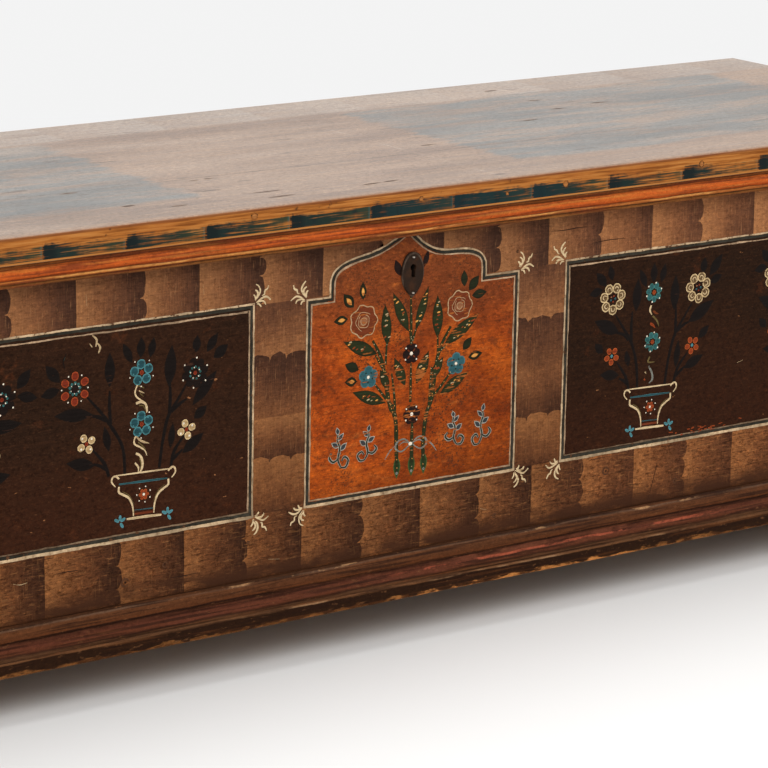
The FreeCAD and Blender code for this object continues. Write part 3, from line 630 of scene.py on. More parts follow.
def blockRow(low, high, places, edge, cut):
    slabs = []
    bounds = [(-edge, False)] + places + [(edge, False)]
    for (u0, scalloped0), (u1, scalloped1) in zip(bounds, bounds[1:]):
        foot = max(low, ground["headFoot"]) if u0 < 0 < u1 and low > ground["rows"]["low"][1] else low
        left = scallop(foot, high, u0, *cut) if scalloped0 else straight(foot, high, u0)
        right = scallop(foot, high, u1, *cut) if scalloped1 else straight(foot, high, u1)
        outline = [(max(-edge, min(edge, u)), v) for v, u in right + left[::-1]]
        marks = [min(1.0, max(0.0, (u - u0) / (u1 - u0))) for u, _ in outline]
        slabs.append((outline, ground["lift"], marks))
    return slabs


def stileColumn(u0, u1, low, high, places, cut):
    slabs = []
    shades = ground["stileShades"][1 if u0 > 0 else -1]
    bounds = [(high, False)] + [(v, i % 2 == 0) for i, v in enumerate(places)] + [(low, False)]
    for ((v0, scalloped0), (v1, scalloped1)), (first, last) in zip(zip(bounds, bounds[1:]), shades):
        top = scallop(u0, u1, v0, *cut) if scalloped0 else straight(u0, u1, v0)
        foot = scallop(u0, u1, v1, *cut) if scalloped1 else straight(u0, u1, v1)
        outline = foot + top[::-1]
        marks = [first + (last - first) * min(1.0, max(0.0, (v0 - v) / (v0 - v1))) for _, v in outline]
        slabs.append((outline, ground["lift"], marks))
    return slabs


def layGround():
    g = ground
    slabs = []
    rows = g["rows"]
    cut = {row: (g["lobesAcross"][row], g["lobe"][row], g["rough"][row]) for row in rows}
    for row in ("top", "low"):
        places = joints(g[row + "Joints"], g["edge"], g["pitch"], g[row + "FirstScalloped"])
        slabs += blockRow(*rows[row], places, g["edge"], cut[row])
    for u0, u1 in g["stiles"]:
        slabs += stileColumn(u0, u1, *rows["stile"], g["stileJoints"][1 if u0 > 0 else -1], cut["stile"])
    layPaint("front_graining", slabs, groundPaint())


layGround()
print("graining laid")


# panels: two dark side panels and the orange centre panel with its stepped ogee head
panels = {"lift": 0.2, "low": 114.0, "top": 332.0, "inner": {-1: 203.4, 1: 205.4}, "outer": 695.0,
          "keyMargin": 9.0, "keyWide": 6.0}


def bezier(a, b, c, d, steps):
    points = []
    for i in range(1, steps + 1):
        t = i / steps
        weights = ((1 - t) ** 3, 3 * t * (1 - t) ** 2, 3 * t * t * (1 - t), t ** 3)
        points.append(tuple(sum(w * p[k] for w, p in zip(weights, (a, b, c, d))) for k in (0, 1)))
    return points


centreHead = {"side": {-1: 132.5, 1: 135.4}, "low": 114.0, "shoulder": 328.0, "left": -104.0, "right": 91.5,
              "tip": (-8.0, 390.0)}


def centreOutline():
    h = centreHead
    left, right, shoulder, tip = h["left"], h["right"], h["shoulder"], h["tip"]
    near, far = -h["side"][-1], h["side"][1]
    points = [(near, h["low"]), (far, h["low"]), (far, shoulder), (right, shoulder), (right, 341.0)]
    points += bezier((right, 341.0), (right, 357.0), (76.0, 361.0), (48.0, 361.5), 10)
    points += bezier((48.0, 361.5), (22.0, 362.0), (10.0, 372.0), tip, 10)
    points += bezier(tip, (-26.0, 378.0), (-42.0, 371.0), (-66.0, 367.5), 10)
    points += bezier((-66.0, 367.5), (-92.0, 363.0), (left, 358.0), (left, 343.0), 10)
    return points + [(left, shoulder), (near, shoulder)]


def sideOutline(side):
    p = panels
    ends = sorted((side * p["inner"][side], side * p["outer"]))
    return [(ends[0], p["low"]), (ends[1], p["low"]), (ends[1], p["top"]), (ends[0], p["top"])]


def halfOutline(outline, split, side):
    # the part of an outline on one side of an upright line
    kept = []
    for a, b in zip(outline, outline[1:] + outline[:1]):
        inside = side * (a[0] - split) >= 0
        if inside:
            kept.append(a)
        if inside != (side * (b[0] - split) >= 0):
            kept.append((split, partWay(a, b, (split - a[0]) / (b[0] - a[0]))[1]))
    return kept


def notched(outline, split, side, low, high, wide):
    # the same half with a notch in its upright edge
    done = []
    for a, b in zip(outline, outline[1:] + outline[:1]):
        done.append(a)
        if a[0] == split and b[0] == split:
            near, far = (low, high) if b[1] > a[1] else (high, low)
            done += [(split, near), (split + side * wide, near), (split + side * wide, far), (split, far)]
    return done


def layPanels():
    dark = [(sideOutline(side), panels["lift"], [0.0] * 4) for side in (-1, 1)]
    layPaint("side_panels", dark, darkPanelPaint())
    low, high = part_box("escutcheon")
    split = (low.x + high.x) / 2 / mm
    foot, head = ((z - footZ) / mm for z in (low.z, high.z))
    halves = []
    for side in (-1, 1):
        half = halfOutline(centreOutline(), split, side)
        half = notched(half, split, side, foot + panels["keyMargin"], head - panels["keyMargin"],
                       panels["keyWide"])
        halves.append((half, panels["lift"], [0.0] * len(half)))
    layPaint("centre_panel", halves, orangePanelPaint())


layPanels()
print("panels laid")


# paints of the ornament: one colour, or a rim colour and a heart colour
paints = {
    "cream": (0.58, 0.43, 0.245), "cream ring": ((0.62, 0.45, 0.235), (0.115, 0.066, 0.028)),
    "cream petal": ((0.62, 0.45, 0.235), (0.4, 0.265, 0.125)), "crack": (0.022, 0.009, 0.005),
    "knot": ((0.045, 0.018, 0.009), (0.085, 0.036, 0.017)), "white": (0.74, 0.66, 0.53),
    "worn cream": ((0.46, 0.34, 0.19), (0.4, 0.28, 0.15)), "black line": (0.03, 0.026, 0.0185),
    "pale line": (0.42, 0.295, 0.175), "grey line": (0.34, 0.225, 0.135),
    "olive": ((0.165, 0.12, 0.042), (0.12, 0.085, 0.03)),
    "rust": ((0.185, 0.048, 0.014), (0.13, 0.032, 0.01)), "ghost": (0.009, 0.0052, 0.0038),
    "bud": ((0.012, 0.0125, 0.006), (0.015, 0.017, 0.007)),
    "shadow leaf": ((0.0082, 0.0052, 0.004), (0.0072, 0.0046, 0.0037)),
    "blue": ((0.066, 0.205, 0.22), (0.016, 0.058, 0.068)),
    "pale blue": ((0.09, 0.25, 0.27), (0.06, 0.19, 0.22)),
    "teal": ((0.05, 0.175, 0.155), (0.025, 0.09, 0.09)),
    "red": ((0.32, 0.055, 0.016), (0.15, 0.02, 0.008)), "orange": ((0.38, 0.08, 0.018), (0.22, 0.036, 0.01)),
    "rose": (0.14, 0.03, 0.01), "rose light": (0.42, 0.265, 0.14),
    "rose heart": ((0.2, 0.074, 0.032), (0.24, 0.098, 0.044)),
    "green": ((0.0155, 0.0185, 0.007), (0.02, 0.025, 0.0085)),
    "bright green": ((0.045, 0.085, 0.025), (0.018, 0.034, 0.01)),
    "yellow": ((0.5, 0.19, 0.035), (0.66, 0.31, 0.075)),
    "plum": ((0.012, 0.0058, 0.0048), (0.014, 0.007, 0.0056)),
    "grey": ((0.32, 0.31, 0.25), (0.15, 0.155, 0.135)), "slate": ((0.4, 0.385, 0.32), (0.032, 0.038, 0.042)),
    "soft blue": ((0.056, 0.14, 0.15), (0.024, 0.082, 0.094)),
    "lid mark": ((0.13, 0.088, 0.064), (0.075, 0.047, 0.034)),
    "plug": ((0.27, 0.095, 0.024), (0.34, 0.135, 0.038)), "plug rim": (0.03, 0.017, 0.009),
}
strokeKind, leafKind, petalKind, dotKind = 0, 1, 2, 3


def newSheet():
    return {key: [] for key in ("verts", "edges", "kind", "width", "turn", "size", "paint", "heart", "wear")}


def toned(paint):
    return paints[paint] if isinstance(paints[paint][0], tuple) else (paints[paint], paints[paint])


def mark(sheet, point, lift, kind, paint, wear, width=0.0, turn=0.0, size=(0.0, 0.0, 0.0)):
    rim, heart = toned(paint)
    sheet["verts"].append((point[0] * mm, point[1] * mm, lift * mm))
    for key, value in {"kind": kind, "width": width * mm, "turn": turn, "wear": wear}.items():
        sheet[key].append(value)
    sheet["size"] += [s * mm for s in size]
    sheet["paint"] += [*rim, 1.0]
    sheet["heart"] += [*heart, 1.0]


def stroke(sheet, points, width, paint, ends=(0.35, 0.35), lift=0.3, wear=0.0):
    start, last = len(sheet["verts"]), len(points) - 1
    for i, point in enumerate(points):
        t = i / last
        swell = min(1.0, ends[0] + (1 - ends[0]) * 3 * t, ends[1] + (1 - ends[1]) * 3 * (1 - t))
        mark(sheet, point, lift, strokeKind, paint, wear, width=width * swell)
    sheet["edges"] += [(start + i, start + i + 1) for i in range(last)]


def dab(sheet, kind, point, turn, length, width, paint, lift=0.3, wear=0.0, thick=0.07):
    mark(sheet, point, lift, kind, paint, wear, turn=turn, size=(length, width, thick))


def leaf(sheet, foot, tip, width, paint, lift=0.28, wear=0.0):
    run = (tip[0] - foot[0], tip[1] - foot[1])
    dab(sheet, leafKind, foot, math.atan2(run[1], run[0]), math.hypot(*run), width, paint, lift, wear)


def around(point, reach, turn):
    return point[0] + reach * math.cos(turn), point[1] + reach * math.sin(turn)


def dotRing(sheet, point, reach, count, size, paint, spin=0.0, lift=0.42):
    for i in range(count):
        dab(sheet, dotKind, around(point, reach, spin + math.tau * i / count), 0.0, size, size, paint, lift)


def flower(sheet, point, petalCount, reach, petal, paint, centre, centreSize, spin=0.0, lift=0.36,
           wear=0.035):
    for i in range(petalCount):
        turn = spin + math.tau * i / petalCount
        dab(sheet, petalKind, around(point, reach - petal[0] / 2, turn), turn, petal[0], petal[1], paint,
            lift + 0.01 * (i % 3), wear)
    dab(sheet, dotKind, point, 0.0, centreSize, centreSize, centre, lift + 0.1)


# the brush: strokes follow their path, leaves, petals and dots are set on their points
def outlineShape(name, halfWidth, count=9, root=0.0):
    # a low closed dome, one unit long along x and one unit wide, its root so far behind the origin
    side = [(i / count, halfWidth(i / count) / 2) for i in range(count + 1)]
    ring = [(x, -w) for x, w in side] + [(x, w) for x, w in reversed(side)][1:-1]
    middle = 0.5
    verts = [(x, y, 0.0) for x, y in ring] + [(middle + (x - middle) * 0.55, y * 0.55, 0.8) for x, y in ring]
    verts = [(x - root, y, z) for x, y, z in verts + [(middle, 0.0, 1.0)]]
    n = len(ring)
    faces = [[i, (i + 1) % n, n + (i + 1) % n, n + i] for i in range(n)]
    faces += [[n + i, n + (i + 1) % n, 2 * n] for i in range(n)]
    faces.append(list(range(n - 1, -1, -1)))
    mesh = newMesh(name, verts, faces=faces, rim=[1.0] * n + [0.45] * n + [0.0])
    return addObject(name, mesh)


def roundSide(t):
    return 2 * math.sqrt(max(0.0, t * (1 - t)))


brushShapes = {
    "Leaf": outlineShape("leaf_dab", lambda t: (4 * t * (1 - t)) ** 1.15 * (1.15 - 0.3 * t), 12),
    "Petal": outlineShape("petal_dab", lambda t: roundSide(t) ** 0.85),
    "Dot": outlineShape("dot_dab", roundSide, 6, 0.5),
}


# geometry trees: named inputs, and at the end real geometry with its paint
def newGroup(name, inputs):
    tree = bpy.data.node_groups.new(name, "GeometryNodeTree")
    sockets = {}
    for label, kind in inputs.items():
        made = tree.interface.new_socket(name=label, in_out="INPUT", socket_type="NodeSocket" + kind)
        sockets[label] = made.identifier
    tree.interface.new_socket(name="Geometry", in_out="OUTPUT", socket_type="NodeSocketGeometry")
    return tree, sockets, tree.nodes.new("NodeGroupInput").outputs


def finishGroup(tree, geometry, paint):
    done = put(tree, "GeometryNodeSetMaterial", {"Geometry": geometry, "Material": paint})
    wire(done, tree.nodes.new("NodeGroupOutput").inputs[0])


def namedValue(tree, name, kind="FLOAT"):
    return put(tree, "GeometryNodeInputNamedAttribute", {"Name": name}, "Attribute", data_type=kind)


def grown(name, mesh, tree, sockets, values):
    # what a geometry tree makes of a mesh of points
    holder = addObject(name, mesh)
    modifier = holder.modifiers.new(name, "NODES")
    modifier.node_group = tree
    for label, value in values.items():
        modifier[sockets[label]] = value
    graph = bpy.context.evaluated_depsgraph_get()
    seen = holder.evaluated_get(graph)
    done = bpy.data.meshes.new_from_object(seen, preserve_all_data_layers=True, depsgraph=graph)
    bpy.data.objects.remove(holder)
    return done


def brushTree():
    tree, sockets, given = newGroup("brushwork", {
        "Geometry": "Geometry", "Spacing": "Float", "Body": "Float", "Unevenness": "Float", "Leaf": "Object",
        "Petal": "Object", "Dot": "Object", "Paint": "Material"})
    path = put(tree, "GeometryNodeMeshToCurve", {"Mesh": given["Geometry"]})
    path = put(tree, "GeometryNodeCurveSplineType", {"Curve": path}, spline_type="CATMULL_ROM")
    path = put(tree, "GeometryNodeResampleCurve", {"Curve": path, "Length": given["Spacing"]}, mode="LENGTH")
    path = put(tree, "GeometryNodeSetCurveNormal", {"Curve": path}, mode="Z_UP")
    hair = put(tree, "GeometryNodeCurvePrimitiveCircle", {"Resolution": 8, "Radius": 1.0})
    rim = put(tree, "ShaderNodeSeparateXYZ", {0: put(tree, "GeometryNodeInputPosition")}, "X")
    stored = {"Geometry": hair, "Name": "rim", "Value": calc("ABSOLUTE", rim)}
    hair = put(tree, "GeometryNodeStoreNamedAttribute", stored, data_type="FLOAT", domain="POINT")
    squash = put(tree, "ShaderNodeCombineXYZ", {"X": 1.0, "Y": given["Body"], "Z": 1.0})
    hair = put(tree, "GeometryNodeTransform", {"Geometry": hair, "Scale": squash})
    hand = put(tree, "ShaderNodeTexNoise", {"Scale": 240.0, "Detail": 2.0})
    press = {0: calc("SUBTRACT", hand, 0.5), 1: given["Unevenness"], 2: 0.5}
    half = times(namedValue(tree, "width"), put(tree, "ShaderNodeMath", press, operation="MULTIPLY_ADD"))
    joined = tree.nodes.new("GeometryNodeJoinGeometry")
    drawn = {"Curve": path, "Profile Curve": hair, "Scale": half, "Fill Caps": True}
    wire(put(tree, "GeometryNodeCurveToMesh", drawn), joined.inputs[0])
    turn = put(tree, "ShaderNodeCombineXYZ", {"Z": namedValue(tree, "turn")})
    turn = put(tree, "FunctionNodeEulerToRotation", {0: turn})
    for label, kind in (("Leaf", leafKind), ("Petal", petalKind), ("Dot", dotKind)):
        same = put(tree, "FunctionNodeCompare", {2: namedValue(tree, "kind", "INT"), 3: kind},
                   data_type="INT", operation="EQUAL")
        shape = put(tree, "GeometryNodeObjectInfo", {"Object": given[label]}, "Geometry")
        dabs = put(tree, "GeometryNodeInstanceOnPoints", {
            "Points": given["Geometry"], "Selection": same, "Instance": shape, "Rotation": turn,
            "Scale": namedValue(tree, "size", "FLOAT_VECTOR")})
        wire(dabs, joined.inputs[0])
    real = put(tree, "GeometryNodeRealizeInstances", {0: joined.outputs[0]})
    flat = put(tree, "GeometryNodeSetShadeSmooth", {"Geometry": real, "Shade Smooth": False})
    finishGroup(tree, flat, given["Paint"])
    return tree, sockets


brush, brushSockets = brushTree()
brushSizes = {"Spacing": 1.5 * mm, "Body": 0.05, "Unevenness": 0.35}


def paintSheet(name, sheet, material, stand=standUp, body="carcase"):
    done = grown(name + "_sheet", newMesh(name + "_sheet", **sheet), brush, brushSockets,
                 {**brushSizes, **brushShapes, "Paint": material})
    done.transform(stand)
    done.name = name
    addPiece(name, done, body)
    print(name, "painted,", len(done.polygons), "faces")


# frame lines round the panels: dark between two creams, offset from the panel's outline
frameLines = {"black": 3.1, "cream": 2.0, "thin": 1.6, "gap": 2.6, "under": 1.2, "over": -2.0, "step": 3.5,
              "wobble": 0.7, "lift": 0.34, "wear": 0.015, "topWear": 0.085, "foot": 0.5, "footReach": 6.0}


def divided(points, step):
    done = []
    for a, b in zip(points, points[1:] + points[:1]):
        count = max(1, round(math.dist(a, b) / step))
        done += [partWay(a, b, i / count) for i in range(count)]
    return done


def offsetLoop(points, away, under, over, wobble, seed):
    # the loop moved out by away, and by under more along its lower sides and over more along its upper
    done = []
    for i, here in enumerate(points):
        before, after = points[i - 1], points[(i + 1) % len(points)]
        into = Vector((here[0] - before[0], here[1] - before[1])).normalized()
        out = Vector((after[0] - here[0], after[1] - here[1])).normalized()
        normals = Vector((into.y, -into.x)), Vector((out.y, -out.x))
        mid = (normals[0] + normals[1]).normalized()
        reach = (away + under * max(0.0, -mid.y) + over * max(0.0, mid.y)) / max(0.5, mid.dot(normals[0]))
        shake = wobble * hills.noise(Vector((here[0] * 0.05, here[1] * 0.05, seed)))
        shake += wobble * 0.6 * hills.noise(Vector((here[0] * 0.21, here[1] * 0.21, seed + 5.0)))
        done.append((here[0] + mid.x * (reach + shake), here[1] + mid.y * (reach + shake)))
    return done


def layLines():
    f = frameLines
    verts, faces, paint, wear = [], [], [], []
    outlines = [centreOutline(), sideOutline(-1), sideOutline(1)]
    bands = [("black line", 0.0, f["black"], 0.0, 0.0), ("pale line", f["gap"], f["cream"], f["under"], 0.0),
             ("grey line", -f["gap"], f["thin"], 0.0, f["over"])]
    for k, outline in enumerate(outlines):
        loop = divided(outline, f["step"])
        for b, (tone, away, width, under, over) in enumerate(bands):
            seed = 10.0 * k + 3.0 * b
            over = over if k else 0.0
            outer = offsetLoop(loop, away + width / 2, under, over, f["wobble"], seed)
            inner = offsetLoop(loop, away - width / 2, 0.0, over, f["wobble"], seed + 1.3)
            count, start = len(loop), len(verts)
            for rail, lift in ((outer, f["lift"]), (inner, f["lift"]), (inner, 0.0), (outer, 0.0)):
                for u, v in rail:
                    verts.append((u * mm, v * mm, lift * mm))
                    gain = 1 + 0.55 * hills.noise(Vector((u * 0.023, v * 0.023, seed)))
                    gain += 0.45 * hills.noise(Vector((u * 0.13, v * 0.13, seed)))
                    faded = k and tone == "grey line" and v < panels["low"] + f["footReach"]
                    gain *= f["foot"] if faded else 1.0
                    paint += [*(gain * c for c in toned(tone)[0]), 1.0]
                    lost = k and tone == "pale line" and v > panels["top"]
                    wear.append(f["topWear"] if lost else f["wear"])
            for side in range(4):
                this, that = start + side * count, start + (side + 1) % 4 * count
                for i in range(count):
                    j = (i + 1) % count
                    faces.append((this + i, this + j, that + j, that + i))
    mesh = newMesh("panel_frame_lines", verts, faces=faces, paint=paint, heart=paint,
                   rim=[0.0] * len(verts), wear=wear)
    mesh.transform(standUp)
    material = ornamentPaint("frame_line_paint", (0.085, 0.038, 0.018), drawn=(0.4, 1, 0.4))
    addPiece("panel_frame_lines", mesh, "carcase", material)


layLines()
print("frame lines drawn")


# corner sprigs: cream curls at the outer corners of the panels, measured outwards from the corner
sprig = {
    "curls": [[(1.0, 3.0), (5.5, 8.0), (6.8, 13.0), (4.8, 17.5), (1.5, 20.0)],
              [(1.2, 4.5), (4.2, 9.0), (3.6, 12.5), (0.6, 14.5)], [(0.4, 3.5), (1.0, 7.0), (-1.4, 10.0)],
              [(2.5, 0.8), (8.5, 4.5), (14.5, 5.5), (20.0, 2.0)],
              [(3.5, 0.4), (8.0, 2.0), (12.0, 1.0), (14.0, -2.0)], [(3.0, -0.4), (6.0, -0.6), (8.0, -4.0)],
              [(9.5, 8.0), (12.0, 9.0), (12.8, 12.5), (16.0, 13.5), (17.5, 17.5)]],
    "width": 2.0, "shake": 0.5, "off": 3.0,
}


def cornerSprig(sheet, point, flipU, flipV):
    # curled brush strokes, fine at the root and thick at the end
    rng = random.Random(round(point[0] + 3 * point[1]))
    for curl in sprig["curls"]:
        path = [shaken((point[0] + flipU * u, point[1] + flipV * v), rng, sprig["shake"]) for u, v in curl]
        stroke(sheet, path, sprig["width"] * rng.uniform(0.8, 1.2), "cream", (0.3, 0.6), 0.4,
               rng.uniform(0.0, 0.09))


def shaken(point, rng, amount):
    return point[0] + rng.uniform(-amount, amount), point[1] + rng.uniform(-amount, amount)


def drawSprigs():
    sheet = newSheet()
    p, h, off = panels, centreHead, sprig["off"]
    for side in (-1, 1):
        for v, flip in ((p["top"] + off, 1), (p["low"] - off, -1)):
            cornerSprig(sheet, (side * (p["inner"][side] - off), v), -side, flip)
            cornerSprig(sheet, (side * (p["outer"] + off), v), side, flip)
        for v, flip in ((h["shoulder"] + off, 1), (h["low"] - off, -1)):
            cornerSprig(sheet, (side * (h["side"][side] + off), v), side, flip)
    paintSheet("corner_sprigs", sheet, ornamentPaint("sprig_paint", (0.14, 0.065, 0.032)))


drawSprigs()

# plants of the side panels, measured from the middle of the vase and the foot line
foliage = {
    "stems": [[(20, 179), (23, 207), (31, 232), (41, 248), (54, 266)], [(34, 236), (43, 242), (52, 246)],
              [(31, 232), (32, 250), (32, 268)], [(33, 179), (37, 195), (50, 211)],
              [(34, 185), (40, 190), (47, 194)]],
    "crown": [((-12, 292), (-22, 313), 9), ((-2, 296), (-1, 318), 10), ((9, 295), (14, 315), 9)],
    "stem": 3.8, "shake": 1.0, "core": 30,
}


vase = {
    "rim": ([(-33, 179), (0, 178), (33, 177)], 1.7, "cream", (0.7, 0.7), 0.0),
    "sides": [
        ([(29, 175), (32, 178), (36, 178), (37.5, 173), (33, 167.5)], 2.0, "cream", (0.9, 0.5), 0.0),
        ([(29, 167), (29, 161), (24, 158), (17, 153), (13, 144), (12, 134)], 2.3, "cream", (0.9, 0.5), 0.0),
        ([(25, 161.5), (17, 156), (11, 146)], 0.9, "olive", (0.4, 0.3), 0.05)],
    "bands": [([(-29, 169.5), (0, 168.5), (28, 167.5)], 2.2, "blue", (0.6, 0.6), 0.0),
              ([(-11, 140), (11, 139)], 1.6, "blue", (0.5, 0.5), 0.1),
              ([(-11, 136), (11, 135.5)], 2.8, "rose", (0.8, 0.8), 0.0),
              ([(-20, 132), (0, 131.5), (21, 130.5)], 2.8, "cream", (0.7, 0.7), 0.0)],
    "flower": (0, 155), "sprig": (28, 130), "sprigTurns": (0.5, 1.5, 2.6, -1.0),
}


def drawVase(sheet, at):
    def line(path, width, tone, ends, wear, side=1):
        stroke(sheet, [at(side * u, v) for u, v in path], width, tone, ends, wear=wear)
    line(*vase["rim"])
    for side in (-1, 1):
        for drawn in vase["sides"]:
            line(*drawn, side)
    for drawn in vase["bands"]:
        line(*drawn)
    bloom(sheet, at(*vase["flower"]), "vase flower")
    for side in (-1, 1):
        spot = at(side * vase["sprig"][0], vase["sprig"][1])
        for turn in vase["sprigTurns"]:
            dab(sheet, petalKind, around(spot, 1.0, turn), turn, 6.5, 3.2, "pale blue", 0.32)


def drawPlant(sheet, middle, side, style, seed):
    rng = random.Random(seed)

    def at(u, v):
        return middle + side * u, v
    for half in (-1, 1):
        spread = style["spread"] if half < 0 else 1.0
        for path in foliage["stems"]:
            bent = [at(half * u * (spread if u > foliage["core"] else 1.0), v) for u, v in path]
            stroke(sheet, [shaken(point, rng, foliage["shake"]) for point in bent], foliage["stem"],
                   "shadow leaf", (0.9, 0.5), 0.24)
    for foot, tip, width in foliage["crown"] + style["leaves"]:
        leaf(sheet, at(*foot), shaken(at(*tip), rng, foliage["shake"]), width, "shadow leaf", 0.25)
    for path, width, tone in style["scrolls"]:
        stroke(sheet, [at(*spot) for spot in path], width, tone, (0.85, 0.3), 0.33)
    for height in style["hearts"]:
        bloom(sheet, at(-1, height), style["heart"], rng)
    for spot, way in zip(style["heads"], (-1, 1)):
        style["head"](sheet, at(*spot), way * side, rng)
    for spot in style["lows"]:
        bloom(sheet, at(*spot), style["low"], rng)
    drawVase(sheet, lambda u, v: at(u + style["vase"], v))


# flowers: petals round an eye, their turn or its range, and rings of dots, which may turn with the petals
blooms = {
    "blue star": {"petalCount": 5, "reach": 8.6, "petal": (10.5, 10.0), "paint": "blue", "centre": "red",
                  "centreSize": 4.6, "spin": (0.2, 0.5),
                  "rings": [(14.2, 5, 1.5, "white", 0.9), (9.6, 5, 1.6, "pale blue", 0.7, 0.5)]},
    "teal star": {"petalCount": 7, "reach": 7.6, "petal": (7.6, 6.4), "paint": "teal", "centre": "orange",
                  "centreSize": 5.0, "spin": (0.0, 0.6), "rings": [(10.8, 6, 1.9, "white", 0.3)]},
    "dark head": {"petalCount": 8, "reach": 10.5, "petal": (11, 9), "paint": "ghost", "centre": "ghost",
                  "centreSize": 8.0, "spin": 0.2, "wear": 0.02,
                  "rings": [(15.5, 6, 1.9, "white", 0.4), (6.2, 9, 2.4, "teal", 0.1),
                            (5.6, 5, 1.5, "white", 0.5, 0.5), (0.0, 1, 5.0, "red", 0.0, 0.5)]},
    "red head": {"petalCount": 6, "reach": 12.8, "petal": (9.6, 8.0), "paint": "red", "centre": "plum",
                 "centreSize": 9.0, "spin": 0.5,
                 "rings": [(5.8, 9, 3.0, "teal", 0.1), (4.8, 6, 1.1, "white", 0.4, 0.52),
                           (15.0, 6, 1.6, "white", 1.02)]},
    "cream head": {"petalCount": 7, "reach": 12.4, "petal": (11.6, 11.2), "paint": "cream ring",
                   "centre": "plum", "centreSize": 8.0, "spin": (0.1, 0.5)},
    "cream low": {"petalCount": 4, "reach": 6.8, "petal": (8.6, 7.6), "paint": "cream petal",
                  "centre": "red", "centreSize": 4.2, "spin": (0.0, 0.5),
                  "rings": [(7.6, 4, 2.4, "white", 0.2, 0.5)], "ringsTurn": True},
    "orange low": {"petalCount": 5, "reach": 6.8, "petal": (7.6, 6.4), "paint": "orange",
                   "centre": "pale blue", "centreSize": 3.6, "spin": (0.5, 0.9)},
    "vase flower": {"petalCount": 6, "reach": 3.8, "petal": (4.4, 3.8), "paint": "orange",
                    "centre": "white", "centreSize": 2.8, "spin": 0.0,
                    "rings": [(8.2, 7, 1.5, "white", 0.4)]},
    "dark bloom": {"petalCount": 6, "reach": 6.6, "petal": (9.5, 9.0), "paint": "plum", "centre": "white",
                   "centreSize": 4.2, "spin": 0.05},
    "bloom veins": {"petalCount": 4, "reach": 5.0, "petal": (4.4, 1.6), "paint": "rose", "centre": "white",
                    "centreSize": 3.8, "spin": 0.8, "lift": 0.42},
    "soft star": {"petalCount": 5, "reach": 7.0, "petal": (11.0, 11.0), "paint": "soft blue",
                  "centre": "white", "centreSize": 3.4, "spin": 0.3, "wear": 0.06,
                  "rings": [(5.6, 5, 1.8, "bud", 0.9, 0.5)]},
}


def bloom(sheet, point, name, rng=None, **more):
    sizes = {"rings": [], "ringsTurn": False, **blooms[name], **more}
    rings, follow = sizes.pop("rings"), sizes.pop("ringsTurn")
    if isinstance(sizes["spin"], tuple):
        sizes["spin"] = rng.uniform(*sizes["spin"])
    flower(sheet, point, **sizes)
    for reach, count, size, paint, turn, *lift in rings:
        dotRing(sheet, point, reach, count, size, paint, turn + follow * sizes["spin"], *lift)
    return sizes["spin"]


def redHead(sheet, point, side, rng):
    bloom(sheet, point, "dark head" if side > 0 else "red head", rng)


def creamHead(sheet, point, side, rng):
    count = blooms["cream head"]["petalCount"]
    spin = bloom(sheet, point, "cream head", rng)
    for i in range(count):
        turn = spin + math.tau * i / count
        spot = around(point, 11.6, turn)
        stroke(sheet, [around(spot, 2.7, turn + a) for a in (-2.4, -0.9, 0.6, 2.0)], 1.1, "cream",
               (0.8, 0.3), 0.52, 0.03)
    for i in range(5):
        dab(sheet, dotKind, around(point, 3.2, 1.2 * i), 0.0, 2.4, 2.0,
            ("blue", "red", "rose heart")[i % 3], 0.5)


